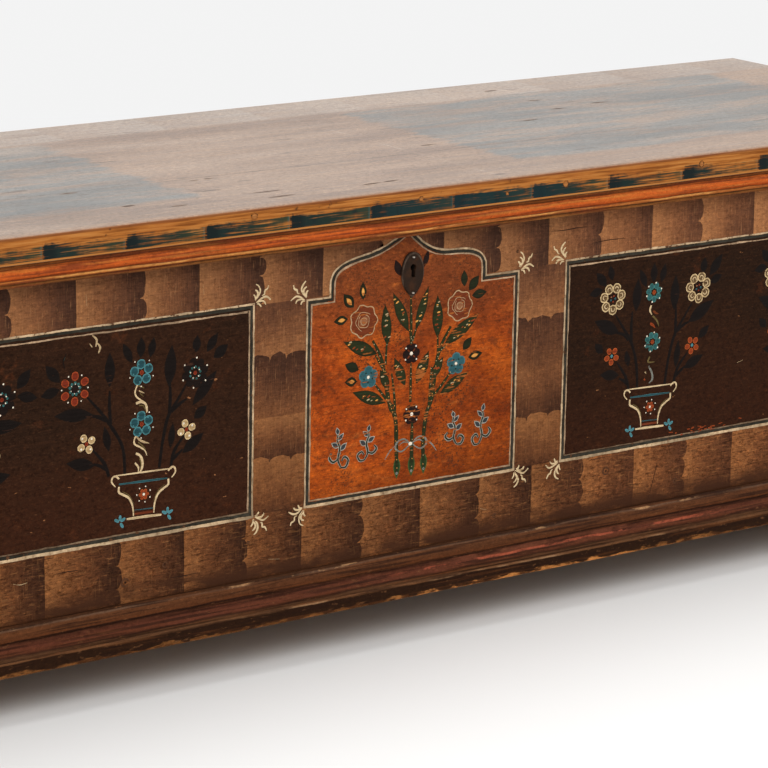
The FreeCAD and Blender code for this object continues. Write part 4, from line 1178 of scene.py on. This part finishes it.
plantStyles = {
    "red": {
        "heart": "blue star", "head": redHead, "low": "cream low", "hearts": (228, 281), "spread": 1.2,
        "heads": ((-78, 274.5), (62, 272.5)), "lows": ((-65, 216.5), (52, 215)), "vase": 1.6,
        "leaves": [((31, 262), (34, 306), 14), ((59, 239), (88, 273), 13), ((61, 225), (76, 237), 11),
                   ((47, 191), (72, 208), 12), ((33, 198), (36, 224), 8), ((63, 293), (65, 312), 10),
                   ((76, 292), (89, 312), 10), ((84, 285), (102, 297), 12), ((-38, 271), (-38, 307), 12),
                   ((-58, 246), (-101, 249), 14), ((-55, 193), (-88, 199), 13), ((-39, 205), (-45, 232), 9),
                   ((-95, 283), (-111, 302), 12), ((-95, 276), (-117, 271), 11)],
        "scrolls": [
            ([(-6, 269), (-8.7, 262), (-7, 257), (-1.4, 252.5), (2, 251)], 1.7, "cream"),
            ([(-5.3, 268), (-1, 266.5), (2, 264.4)], 1.3, "olive"),
            ([(-4.2, 262.7), (-1, 261), (2.4, 259.4)], 1.4, "worn cream"),
            ([(-3, 260), (1.3, 256)], 1.3, "olive"),
            ([(-7.6, 250), (-1.4, 251), (3.6, 248), (5.2, 242), (5, 239)], 2.6, "cream"),
            ([(-4, 247.5), (1, 246.5), (3.5, 241)], 1.2, "olive"),
            ([(-7.6, 217), (-3.7, 212.4), (2, 209), (8, 207)], 2.0, "worn cream"),
            ([(-7.6, 217), (-9.8, 212), (-8.7, 208), (-2.6, 204.4), (3, 200), (5.2, 194.6)], 1.8, "cream"),
            ([(-5, 210), (0, 205.5), (4, 201)], 1.3, "olive"),
            ([(-7.6, 198.6), (-2.6, 195.5), (0.2, 188.3), (-0.9, 181.6), (-4.2, 178)], 2.6, "cream"),
            ([(-3.5, 193), (-1.5, 187), (-2.5, 181)], 1.3, "olive"),
            ([(-8.7, 189), (-4.8, 184), (-4.8, 179)], 2.0, "cream")],
    },
    "cream": {
        "heart": "teal star", "head": creamHead, "low": "orange low", "hearts": (229, 285), "spread": 1.0,
        "heads": ((-59.5, 284.5), (63, 283)), "lows": ((-58.5, 220), (57, 218)), "vase": -1.0,
        "leaves": [((29, 261), (29, 302), 13), ((50, 245), (87, 266), 15), ((66, 225), (82, 238), 10),
                   ((46, 193), (75, 206), 12), ((34, 195), (38, 226), 9), ((69, 299), (72, 317), 10),
                   ((79, 295), (97, 317), 12), ((80, 287), (98, 294), 10), ((-26, 266), (-24, 303), 13),
                   ((-49, 245), (-85, 262), 15), ((-71, 225), (-82, 237), 10), ((-47, 197), (-74, 200), 12),
                   ((-34, 205), (-39, 225), 8), ((-61, 305), (-64, 323), 9), ((-69, 300), (-83, 316), 11),
                   ((-74, 296), (-93, 293), 10)],
        "scrolls": [([(-4.3, 270.7), (-6, 265), (-3, 260)], 2.4, "cream"),
                    ([(-1, 264), (3, 261), (6.4, 260)], 2.2, "rust"),
                    ([(-1.9, 258.6), (4.6, 252.3), (7.6, 245.5)], 2.0, "olive"),
                    ([(-4.9, 250.4), (-1, 248), (2.3, 244.5)], 2.6, "orange"),
                    ([(-3.7, 212.5), (-6, 206.7), (3.5, 205.7)], 2.0, "olive"),
                    ([(-4.9, 201.8), (0, 194), (1, 186.3), (-3.7, 182.4)], 2.2, "grey"),
                    ([(-10, 196), (-8, 194)], 2.6, "worn cream"), ([(-11, 188), (-9, 186.5)], 3.0, "orange")],
    },
}


strayMarks = {
    -1: [([(-391, 326), (-386, 321), (-387, 314)], 2.2, "worn cream", (0.4, 0.5), 0.33, 0.04),
         ([(-386, 318), (-382, 313), (-384, 307)], 2.2, "worn cream", (0.4, 0.5), 0.33, 0.04),
         ([(-394, 318), (-391, 314)], 2.2, "worn cream", (0.4, 0.5), 0.33, 0.04),
         ([(-420, 312), (-424, 304), (-422, 296)], 1.4, "ghost", (0.4, 0.4), 0.33, 0.02),
         ([(-422, 308), (-424, 303)], 1.0, "teal", (0.4, 0.4), 0.34, 0.1)],
    1: [([(454, 189), (463, 191)], 1.2, "worn cream", (0.3, 0.3), 0.32, 0.05)],
    "specks": 26, "specksAt": (415, 116), "specksReach": (22, 9),
}


def drawMarks(sheet, side):
    # a hanging sprig and a stray curl on the left, a short stroke and specks along the foot on the right
    m = strayMarks
    rng = random.Random(23)
    for _ in range(m["specks"] if side > 0 else 0):
        across = rng.gauss(m["specksAt"][0], m["specksReach"][0])
        spot = (across, m["specksAt"][1] + m["specksReach"][1] * rng.random() ** 2)
        dab(sheet, dotKind, spot, rng.uniform(-0.3, 0.3), rng.uniform(2, 7), rng.uniform(0.8, 1.8),
            "orange", 0.3, 0.02)
    for drawn in m[side]:
        stroke(sheet, *drawn)


# each panel's plants: the middle, the way it faces, its style and its seed
plants = {
    "left": [(-333, 1, "red", 3), (-571, -1, "red", 5)],
    "right": [(329, 1, "cream", 7), (567, 1, "cream", 9)],
}


def drawPlants():
    material = ornamentPaint("side_ornament_paint", (0.045, 0.018, 0.01))
    for name, side in (("left", -1), ("right", 1)):
        sheet = newSheet()
        for middle, way, style, seed in plants[name]:
            drawPlant(sheet, middle, way, plantStyles[style], seed)
        drawMarks(sheet, side)
        paintSheet(name + "_panel_flowers", sheet, material)


drawPlants()


# bouquet of the centre panel
bouquet = {
    "rubbed": (0.0, 212.0, 48.0),
    "stems": [[(-18, 130), (-19, 160), (-21, 190), (-28, 204), (-34, 228), (-40, 256), (-52, 278)],
              [(1, 130), (1, 160), (1, 183)], [(-2, 205), (-2, 228), (-2, 248)],
              [(-2, 268), (-3, 295), (-4, 320)],
              [(17, 132), (16, 160), (19, 188), (26, 206), (30, 235), (35, 258), (49, 281)],
              [(-24, 203), (-36, 216), (-50, 233)], [(25, 205), (40, 220), (53, 234)],
              [(-34, 240), (-42, 252), (-48, 262)], [(31, 245), (36, 256), (44, 262)],
              [(-35, 250), (-34, 274)], [(33, 250), (32, 274)], [(-2, 268), (-5, 285)],
              [(-2, 268), (4, 285)], [(-21, 190), (-23, 215), (-27, 240)], [(22, 195), (24, 225), (25, 240)]],
    "leaves": [((-33, 270), (-37, 315), 13, 0.0), ((-6, 282), (-27, 326), 13, 0.02),
               ((3, 282), (19, 328), 11, 0.03), ((32, 270), (31, 317), 14, 0.0),
               ((-46, 263), (-89, 281), 15, 0.0), ((40, 261), (87, 291), 14, 0.09),
               ((-34, 209), (-77, 226), 14, 0.04), ((36, 208), (74, 229), 13, 0.09),
               ((5, 224), (21, 258), 14, 0.07), ((-9, 224), (-24, 256), 12, 0.06),
               ((24, 226), (40, 249), 11, 0.07), ((-30, 222), (-42, 246), 10, 0.04)],
    "buds": [((-77, 316), (-90, 332), 12, 1), ((-65, 323), (-66, 342), 9, 1),
             ((-84, 305), (-102, 304), 10, 1), ((-69, 249), (-87, 257), 11, 0),
             ((-71, 237), (-87, 238), 10, 1), ((66, 322), (65, 340), 9, 0), ((72, 317), (85, 332), 11, 0),
             ((76, 311), (96, 313), 10, 0), ((66, 253), (77, 266), 10, 0), ((73, 244), (92, 247), 10, 1)],
    "beside lock": [((-18, 343), (-25, 361), 9), ((12, 349), (18, 367), 7)],
    "roses": [((-64, 300), 17.5), ((60, 302), 16.5)], "blooms": [((-2, 258), 0.0), ((0, 192), 0.03)],
    "stars": (57, 239.5), "sprays": [(93, 166, 1, 1.0), (57, 167, -1, 0.85)], "feet": (-18, 1, 17),
    "bow": [([(1, 160), (9, 166), (18, 164), (20, 157), (12, 153), (2, 159)], 1.9, (0.6, 0.6), (0.03, 0.1)),
            ([(3, 161), (10, 163), (16, 160)], 1.3, (0.5, 0.3), (0.08, 0.08)),
            ([(18, 162), (27, 156), (34, 147)], 1.5, (0.7, 0.3), (0.13, 0.13))],
    "rose lines": [(0.95, 7, 1.3, 0.0, 1.0), (0.56, 5, 0.7, 0.7, 0.6), (0.4, 4, 0.7, 2.2, 0.85),
                   (0.22, 3, 0.7, 0.4, 0.9)],
    "spray leaves": [((-1, -1), (-10, 7), 6.0), ((0, 3), (10, 9), 6.0), ((2, 10), (-6, 18), 5.0),
                     ((1, 16), (3, 25), 5.0)],
    "knot": (-1, 160), "flecks": 3,
}


def fleckLeaf(sheet, foot, tip, width, wear, rng):
    leaf(sheet, foot, tip, width, "green", 0.3, wear)
    run = Vector((tip[0] - foot[0], tip[1] - foot[1]))
    across = Vector((-run.y, run.x)).normalized()
    for _ in range(round(run.length / 6)):
        t = rng.uniform(0.2, 0.85)
        spot = Vector(foot) + run * t + across * rng.uniform(-0.3, 0.3) * width * (1 - t * 0.6)
        size = rng.uniform(1.0, 2.8)
        dab(sheet, dotKind, spot, rng.uniform(0.0, 0.6), size * 1.8, size * 0.7,
            rng.choice(("yellow", "orange", "worn cream")), 0.42)


def rose(sheet, point, size, rng):
    for i in range(9):
        turn = math.tau * i / 9
        dab(sheet, petalKind, around(point, size * 0.2, turn), turn, size * 0.76, size * 0.72, "rose",
            0.33 + 0.01 * (i % 3), 0.07)
    dab(sheet, dotKind, point, 0.0, size * 1.3, size * 1.3, "rose", 0.37, 0.07)
    dab(sheet, dotKind, point, 0.6, size * 0.75, size * 0.6, "rose heart", 0.42, 0.1)
    for reach, lobes, width, start, sweep in bouquet["rose lines"]:
        count = round(30 * sweep)
        wave = []
        for turn in (math.tau * sweep * i / count for i in range(count + 1)):
            out = 1 + 0.07 * math.cos(lobes * turn) + rng.uniform(-0.025, 0.025)
            wave.append(around(point, size * reach * out, turn + start))
        stroke(sheet, wave, width, "rose light", (0.8, 0.8), 0.5, 0.04)


def darkBloom(sheet, point, wear):
    bloom(sheet, point, "dark bloom", wear=wear)
    bloom(sheet, point, "bloom veins", wear=wear + 0.06)
    for turn in (3.8, 5.5, 0.9, 2.4):
        dab(sheet, dotKind, around(point, 9.5, turn), 0.0, 1.9, 1.9, "white", 0.5, 0.06)


def flourish(sheet, point, side, tall):
    # a small leafy spray with a curled foot, dark with pale edges
    def at(u, v):
        return point[0] + side * u, point[1] + tall * v
    stem = [at(-3, -19), at(1, -10), at(-1, 1), at(2, 11), at(1, 18)]
    curl = [at(-3, -19), at(-9, -19), at(-12, -12), at(-7, -8), at(-4, -12)]
    spray = [at(0, -9), at(7, -12), at(12, -7), at(9, -2)]
    for paint, wide, lift in (("grey", 3.4, 0.38), ("bud", 2.0, 0.42)):
        for path in (stem, curl, spray):
            stroke(sheet, path, wide, paint, (0.6, 0.5), lift, 0.05)
    for foot, tip, width in bouquet["spray leaves"]:
        leaf(sheet, at(*foot), at(*tip), width, "slate", 0.44, 0.04)


def drawBouquet():
    b = bouquet
    rng = random.Random(11)
    sheet = newSheet()
    for path in b["stems"]:
        stroke(sheet, path, 5.0 if path[0][1] < 140 else 3.2, "green", (1.0, 0.6), 0.29, 0.05)
    for foot, tip, width, wear in b["leaves"]:
        fleckLeaf(sheet, foot, tip, width, wear, rng)
    for foot, tip, width, opened in b["buds"]:
        leaf(sheet, foot, tip, width, "bud", 0.3)
        if opened:
            leaf(sheet, partWay(foot, tip, 0.2), partWay(foot, tip, 0.72), width * 0.42, "yellow", 0.42, 0.06)
    for foot, tip, width in b["beside lock"]:
        leaf(sheet, foot, tip, width, "plum", 0.3, 0.03)
    for point, size in b["roses"]:
        rose(sheet, point, size, rng)
    for point, wear in b["blooms"]:
        darkBloom(sheet, point, wear)
    for side in (-1, 1):
        star = (side * b["stars"][0], b["stars"][1])
        bloom(sheet, star, "soft star")
        for u, v, way, tall in b["sprays"]:
            flourish(sheet, (side * u, v), side * way, tall)
    for middle in b["feet"]:
        leaf(sheet, (middle, 149), (middle, 124), 9.0, "bright green", 0.33)
        dab(sheet, dotKind, (middle, 130), 0.0, 3.0, 3.0, "grey", 0.45, 0.05)
    for half, side in enumerate((-1, 1)):
        for path, width, ends, wear in b["bow"]:
            stroke(sheet, [(side * u, v) for u, v in path], width, "grey", ends, 0.46, wear[half])
    dab(sheet, dotKind, b["knot"], 0.0, 5.0, 4.0, "white", 0.5)
    for path in b["stems"]:
        for i in range(b["flecks"] * (len(path) - 1)):
            leg, step = divmod(i, b["flecks"])
            u, v = partWay(path[leg], path[leg + 1], (step + rng.uniform(0.2, 0.8)) / b["flecks"])
            spot = (u + rng.uniform(-0.8, 0.8), v)
            dab(sheet, dotKind, spot, rng.uniform(0, 3), 1.5, 0.9, rng.choice(("yellow", "worn cream")), 0.45)
    paintSheet("centre_bouquet", sheet, ornamentPaint("bouquet_paint", (0.3, 0.085, 0.018), b["rubbed"]))


drawBouquet()


# age: cracks, scratches and knots of the front, wooden pins along the lid's edge and marks on its top
age = {
    "cracks": [[(181, 369), (200, 368.4), (216, 369.2), (231, 368.6)],
               [(-435, 88), (-421, 88.6), (-408, 88)], [(238, 350), (262, 351), (285, 350.4)],
               [(-300, 62), (-284, 61.5), (-266, 62)], [(341, 86), (337, 70), (330, 47)]],
    "scratches": [[(-482, 86), (-474, 84), (-466, 85)], [(-246, 392), (-245, 384)],
                  [(-262, 362), (-261, 352)], [(-398, 368), (-397, 356)], [(-180, 62), (-166, 60)],
                  [(94, 74), (103, 71)]],
    "knots": [(-353, 66, 9.0), (-306, 77, 6.0), (-205, 84, 3.4), (268, 90, 9.0), (115, 81, 3.6),
              (114, 63, 5.0), (369, 64, 6.0), (136, 352, 3.2)],
    "plugs": [(-220, 19.5, 8.5), (-14, 16.5, 6.0), (98, 11.0, 4.0), (176, 13.5, 8.0), (365, 17.0, 7.5)],
    "lidMarks": [(416, 191, 22), (420, 111, 20), (409, 53, 20), (334, 8, 24), (479, 62, 28), (138, -60, 24),
                 (-19, -208, 24), (-194, -103, 14), (-176, -102, 12), (-161, -190, 40), (-162, -217, 36),
                 (-45, -210, 26), (-277, -206, 20), (-340, -97, 22), (-322, -182, 18)],
}


def drawKnot(sheet, point, size, rng):
    dab(sheet, dotKind, point, rng.uniform(0, 3), size * 0.3, size * 0.24, "crack", 0.36, 0.02)
    for reach in (0.4, 0.5):
        loop = [around(point, size * reach * rng.uniform(0.92, 1.08), 0.35 * i) for i in range(17)]
        stroke(sheet, loop, 0.9, "knot", (0.6, 0.5), 0.38, 0.05)


def drawPlug(sheet, point, size, rng):
    # the end of a wooden pin, pale in a dark worn rim
    dab(sheet, dotKind, point, rng.uniform(0, 3), size * 0.8, size * 0.76, "plug", 0.34, 0.02)
    start = rng.uniform(0, 6)
    loop = [around(point, size * 0.44 * rng.uniform(0.94, 1.06), start + 0.35 * i) for i in range(18)]
    stroke(sheet, loop, 1.3, "plug rim", (0.4, 0.3), 0.38, 0.15)


def drawAge():
    rng = random.Random(31)
    sheet = newSheet()
    for path in age["cracks"]:
        stroke(sheet, path, 0.9, "crack", (0.3, 0.3), 0.34, 0.04)
    for path in age["scratches"]:
        stroke(sheet, path, 0.8, "worn cream", (0.3, 0.3), 0.34, 0.08)
    for u, v, size in age["knots"]:
        drawKnot(sheet, (u, v), size, rng)
    paintSheet("front_wear_marks", sheet, ornamentPaint("wear_mark_paint", (0.12, 0.05, 0.022)))
    sheet = newSheet()
    for u, v, size in age["plugs"]:
        drawPlug(sheet, (u, v), size, rng)
    edge = Matrix.Translation((0, lidLow.y, lidLow.z)) @ Matrix.Rotation(math.radians(90), 4, "X")
    paintSheet("lid_edge_plugs", sheet, ornamentPaint("edge_plug_paint", (0.25, 0.085, 0.018)), edge, "lid")
    sheet = newSheet()
    for u, v, length in age["lidMarks"]:
        tilt = rng.uniform(-0.06, 0.06) * length
        leaf(sheet, (u - length / 2, v - tilt), (u + length / 2, v + tilt), rng.uniform(2.6, 4.6),
             "lid mark", 0.16, 0.12)
    flat = Matrix.Translation((0, 0, lidHigh.z))
    paintSheet("lid_top_marks", sheet, ornamentPaint("lid_mark_paint", (0.26, 0.185, 0.135)), flat, "lid")


drawAge()
for shape in brushShapes.values():
    bpy.data.objects.remove(shape)


# dashes of blue-green on the lid's edge, dark where the brush was set down and dry at the end
dashes = {
    "starts": (-463, -370, -278, -177, -78, 27, 131, 234, 338, 447), "pitch": 98.0, "gap": 0.4,
    "low": 2.4, "high": 19.5, "first": 6, "spare": 4, "lift": 0.12, "rows": 4, "columns": 10,
    "dryness": ((0.0, 0.36), (0.11, 0.36), (0.17, 0.405), (1.0, 0.47)),
    "tones": [(0.0, (0.008, 0.012, 0.012)), (0.13, (0.0085, 0.0135, 0.013)), (0.2, (0.011, 0.0205, 0.018)),
              (0.6, (0.015, 0.024, 0.017)), (0.97, (0.03, 0.036, 0.019)), (0.985, (0.03, 0.062, 0.05))],
}


def dashPaint():
    made, tree = newMaterial("edge_dash_paint")
    run, rise, x = attribute(tree, "run"), attribute(tree, "rise"), axis(tree, "X")
    hairs = noiseAt(tree, 620.0, (0.04, 0.04, 1), 4.0)
    patch = noiseAt(tree, 85.0, (1, 1, 0.5), 5.0, 0.65)
    fringe = noiseAt(tree, 150.0, (0.5, 0.5, 1), 5.0, 0.65)
    ragged = sift(plus(rise, sway(fringe, 0.5)), 0.55, 1.1, 0.0, 0.34)
    heel = sift(plus(run, sway(fringe, 0.05)), 0.01, 0.035, 0.15, 0.0)
    solid = times(between(x, -0.07, 0.18, 0.05), -0.06)
    thin = times(sift(x, 0.17, 0.24, 0.0, 0.1), sift(run, 0.12, 0.5))
    lined = times(sift(x, -0.1, -0.2, 0.0, 0.045), sift(run, 0.15, 0.4))
    body = ramp(run, [(at, (dry, dry, dry)) for at, dry in dashes["dryness"]])
    spent = plus(calc("SUBTRACT", body, 0.5), plus(ragged, heel))
    spent = plus(plus(spent, lined), plus(solid, thin))
    level = plus(times(hairs, 0.78), times(patch, 0.22))
    bare = sift(plus(level, spent), 0.42, 0.66)
    colour = ramp(run, dashes["tones"])
    colour = tint(times(solid, -9.0), colour, (0.0085, 0.025, 0.029))
    colour = tint(sift(patch, 0.5, 0.66, 0.0, 0.6), colour, (0.009, 0.015, 0.016))
    return finishMaterial(made, tint(bare, colour, edgeColour(tree)), 0.5, hairs, 0.0002, gloss=0.03)


def dashShape(d):
    # one dash of unit length, with how far along it and how far up each point lies
    verts, faces, run, rise = [], [], [], []
    for level in (d["lift"], 0.0):
        for r in range(d["rows"] + 1):
            for c in range(d["columns"] + 1):
                u, v = c / d["columns"], r / d["rows"]
                verts.append((u, (d["low"] + v * (d["high"] - d["low"])) * mm, level * mm))
                run.append(u)
                rise.append(v)
    wide, layer = d["columns"] + 1, (d["rows"] + 1) * (d["columns"] + 1)
    for r in range(d["rows"]):
        for c in range(d["columns"]):
            a = r * wide + c
            face = (a, a + 1, a + wide + 1, a + wide)
            faces += [face, tuple(layer + i for i in reversed(face))]
    rim = list(range(wide)) + [r * wide + wide - 1 for r in range(1, d["rows"] + 1)]
    rim += [d["rows"] * wide + c for c in range(wide - 2, -1, -1)]
    rim += [r * wide for r in range(d["rows"] - 1, 0, -1)]
    for i, j in zip(rim, rim[1:] + rim[:1]):
        faces.append((i, layer + i, layer + j, j))
    return addObject("edge_dash", newMesh("edge_dash", verts, faces=faces, run=run, rise=rise))


def dashTree():
    tree, sockets, given = newGroup("edge_dashes",
                                    {"Geometry": "Geometry", "Dash": "Object", "Paint": "Material"})
    shape = put(tree, "GeometryNodeObjectInfo", {"Object": given["Dash"]}, "Geometry")
    long = put(tree, "ShaderNodeCombineXYZ", {"X": namedValue(tree, "reach"), "Y": 1.0, "Z": 1.0})
    inputs = {"Points": given["Geometry"], "Instance": shape, "Scale": long}
    placed = put(tree, "GeometryNodeInstanceOnPoints", inputs)
    finishGroup(tree, put(tree, "GeometryNodeRealizeInstances", {0: placed}), given["Paint"])
    return tree, sockets


def dashStarts(measured, low, high, pitch):
    starts = list(measured)
    while starts[0] - pitch > low:
        starts.insert(0, starts[0] - pitch)
    while starts[-1] + pitch < high:
        starts.append(starts[-1] + pitch)
    return starts + [high]


def drawDashes():
    d = dashes
    tree, sockets = dashTree()
    shape, material = dashShape(d), dashPaint()
    half, deep = lidHigh.x / mm - d["spare"], (lidBack - lidLow.y) / mm - d["spare"]
    ends = dashStarts([d["first"]], d["first"], deep, d["pitch"])
    runs = {
        "front": (dashStarts(d["starts"], -half, half, d["pitch"]), (0, lidLow.y, lidLow.z), 0),
        "left": (ends, (lidLow.x, lidBack, lidLow.z), -90),
        "right": (ends, (lidHigh.x, lidLow.y, lidLow.z), 90),
    }
    for which, (starts, corner, turn) in runs.items():
        reach = [(after - start - d["gap"]) * mm for start, after in zip(starts, starts[1:])]
        points = newMesh("dash_run", [(start * mm, 0.0, 0.0) for start in starts[:-1]], reach=reach)
        done = grown("dash_run", points, tree, sockets, {"Dash": shape, "Paint": material})
        turned = Matrix.Rotation(math.radians(turn), 4, "Z") @ Matrix.Rotation(math.radians(90), 4, "X")
        done.transform(Matrix.Translation(corner) @ turned)
        addPiece("edge_dashes_" + which, done, "lid")
    bpy.data.objects.remove(shape)


drawDashes()
print("lid edge dashed")


# stage: pale floor, white surround, soft lights, and the camera where the photographer stood
stageSizes = {"floor": 14.0, "floorTone": (0.74, 0.735, 0.725), "surround": 0.5, "white": (1.3, 3.0),
              "wallLevel": 0.9, "aim": (0, 0, 0.25)}
lamps = {
    "key": {"at": (-2.6, -3.4, 3.4), "size": 2.6, "power": 150.0},
    "fill": {"at": (2.8, -2.6, 2.2), "size": 2.6, "power": 60.0},
    "top": {"at": (0.2, 0.4, 3.6), "size": 3.0, "power": 90.0},
}
lens = {"at": (-2.12885, -3.10618, 1.18473), "yaw": 36.0013, "pitch": 14.2372, "roll": -1.0898,
        "focal": 3517.376, "frame": 768}


def buildFloor():
    half, pale = stageSizes["floor"], stageSizes["floorTone"]
    corners = [(-half, -half, 0), (half, -half, 0), (half, half, 0), (-half, half, 0)]
    mesh = newMesh("floor", corners, faces=[(0, 1, 2, 3)])
    made, tree = newMaterial("pale_floor")
    cloud = noiseAt(tree, 3.0)
    finishMaterial(made, tint(cloud, tuple(0.98 * c for c in pale), pale), 0.8, cloud, 0.0001, gloss=0.1)
    x, y = axis(tree, "X"), axis(tree, "Y")
    far = sift(calc("SQRT", plus(times(x, x), times(y, y))), *stageSizes["white"])
    far = times(far, put(tree, "ShaderNodeLightPath", output="Is Camera Ray"))
    glow = put(tree, "ShaderNodeEmission", {"Color": (1.0, 1.0, 1.0), "Strength": stageSizes["wallLevel"]})
    shown = put(tree, "ShaderNodeMixShader", {0: far, 1: tree.nodes["Principled BSDF"].outputs[0], 2: glow})
    wire(shown, tree.nodes["Material Output"].inputs["Surface"])
    mesh.materials.append(made)
    floor = addObject("floor", mesh)


def buildSurround():
    world = bpy.data.worlds.new("surround")
    bpy.context.scene.world = world
    world.use_nodes = True
    tree = world.node_tree
    rays = tree.nodes.new("ShaderNodeLightPath").outputs
    seen = calc("MAXIMUM", calc("MAXIMUM", rays["Is Camera Ray"], rays["Is Glossy Ray"]),
                rays["Is Transmission Ray"])
    shade = put(tree, "ShaderNodeMapRange", {0: seen, 3: stageSizes["surround"], 4: 1.0})
    wire((1.0, 1.0, 1.0), tree.nodes["Background"].inputs["Color"])
    wire(shade, tree.nodes["Background"].inputs["Strength"])


def buildLamps():
    for name, lamp in lamps.items():
        light = bpy.data.lights.new(name, "AREA")
        light.energy = lamp["power"]
        light.size = lamp["size"]
        holder = addObject(name, light)
        holder.location = lamp["at"]
        away = Vector(stageSizes["aim"]) - Vector(lamp["at"])
        holder.rotation_euler = away.to_track_quat("-Z", "Y").to_euler()


def buildCamera():
    yaw, pitch, roll = (math.radians(lens[key]) for key in ("yaw", "pitch", "roll"))
    ahead = Vector((math.sin(yaw) * math.cos(pitch), math.cos(yaw) * math.cos(pitch), -math.sin(pitch)))
    right = Vector((math.cos(yaw), -math.sin(yaw), 0.0))
    down = ahead.cross(right)
    across = right * math.cos(roll) + down * math.sin(roll)
    upward = right * math.sin(roll) - down * math.cos(roll)
    data = bpy.data.cameras.new("camera")
    data.sensor_width = 36.0
    data.lens = lens["focal"] * data.sensor_width / lens["frame"]
    camera = addObject("camera", data)
    turned = Matrix((across, upward, -ahead)).transposed().to_4x4()
    camera.matrix_world = Matrix.Translation(lens["at"]) @ turned
    bpy.context.scene.camera = camera


buildFloor()
buildSurround()
buildLamps()
buildCamera()
bpy.context.scene.view_settings.view_transform = "Standard"
print("stage set")
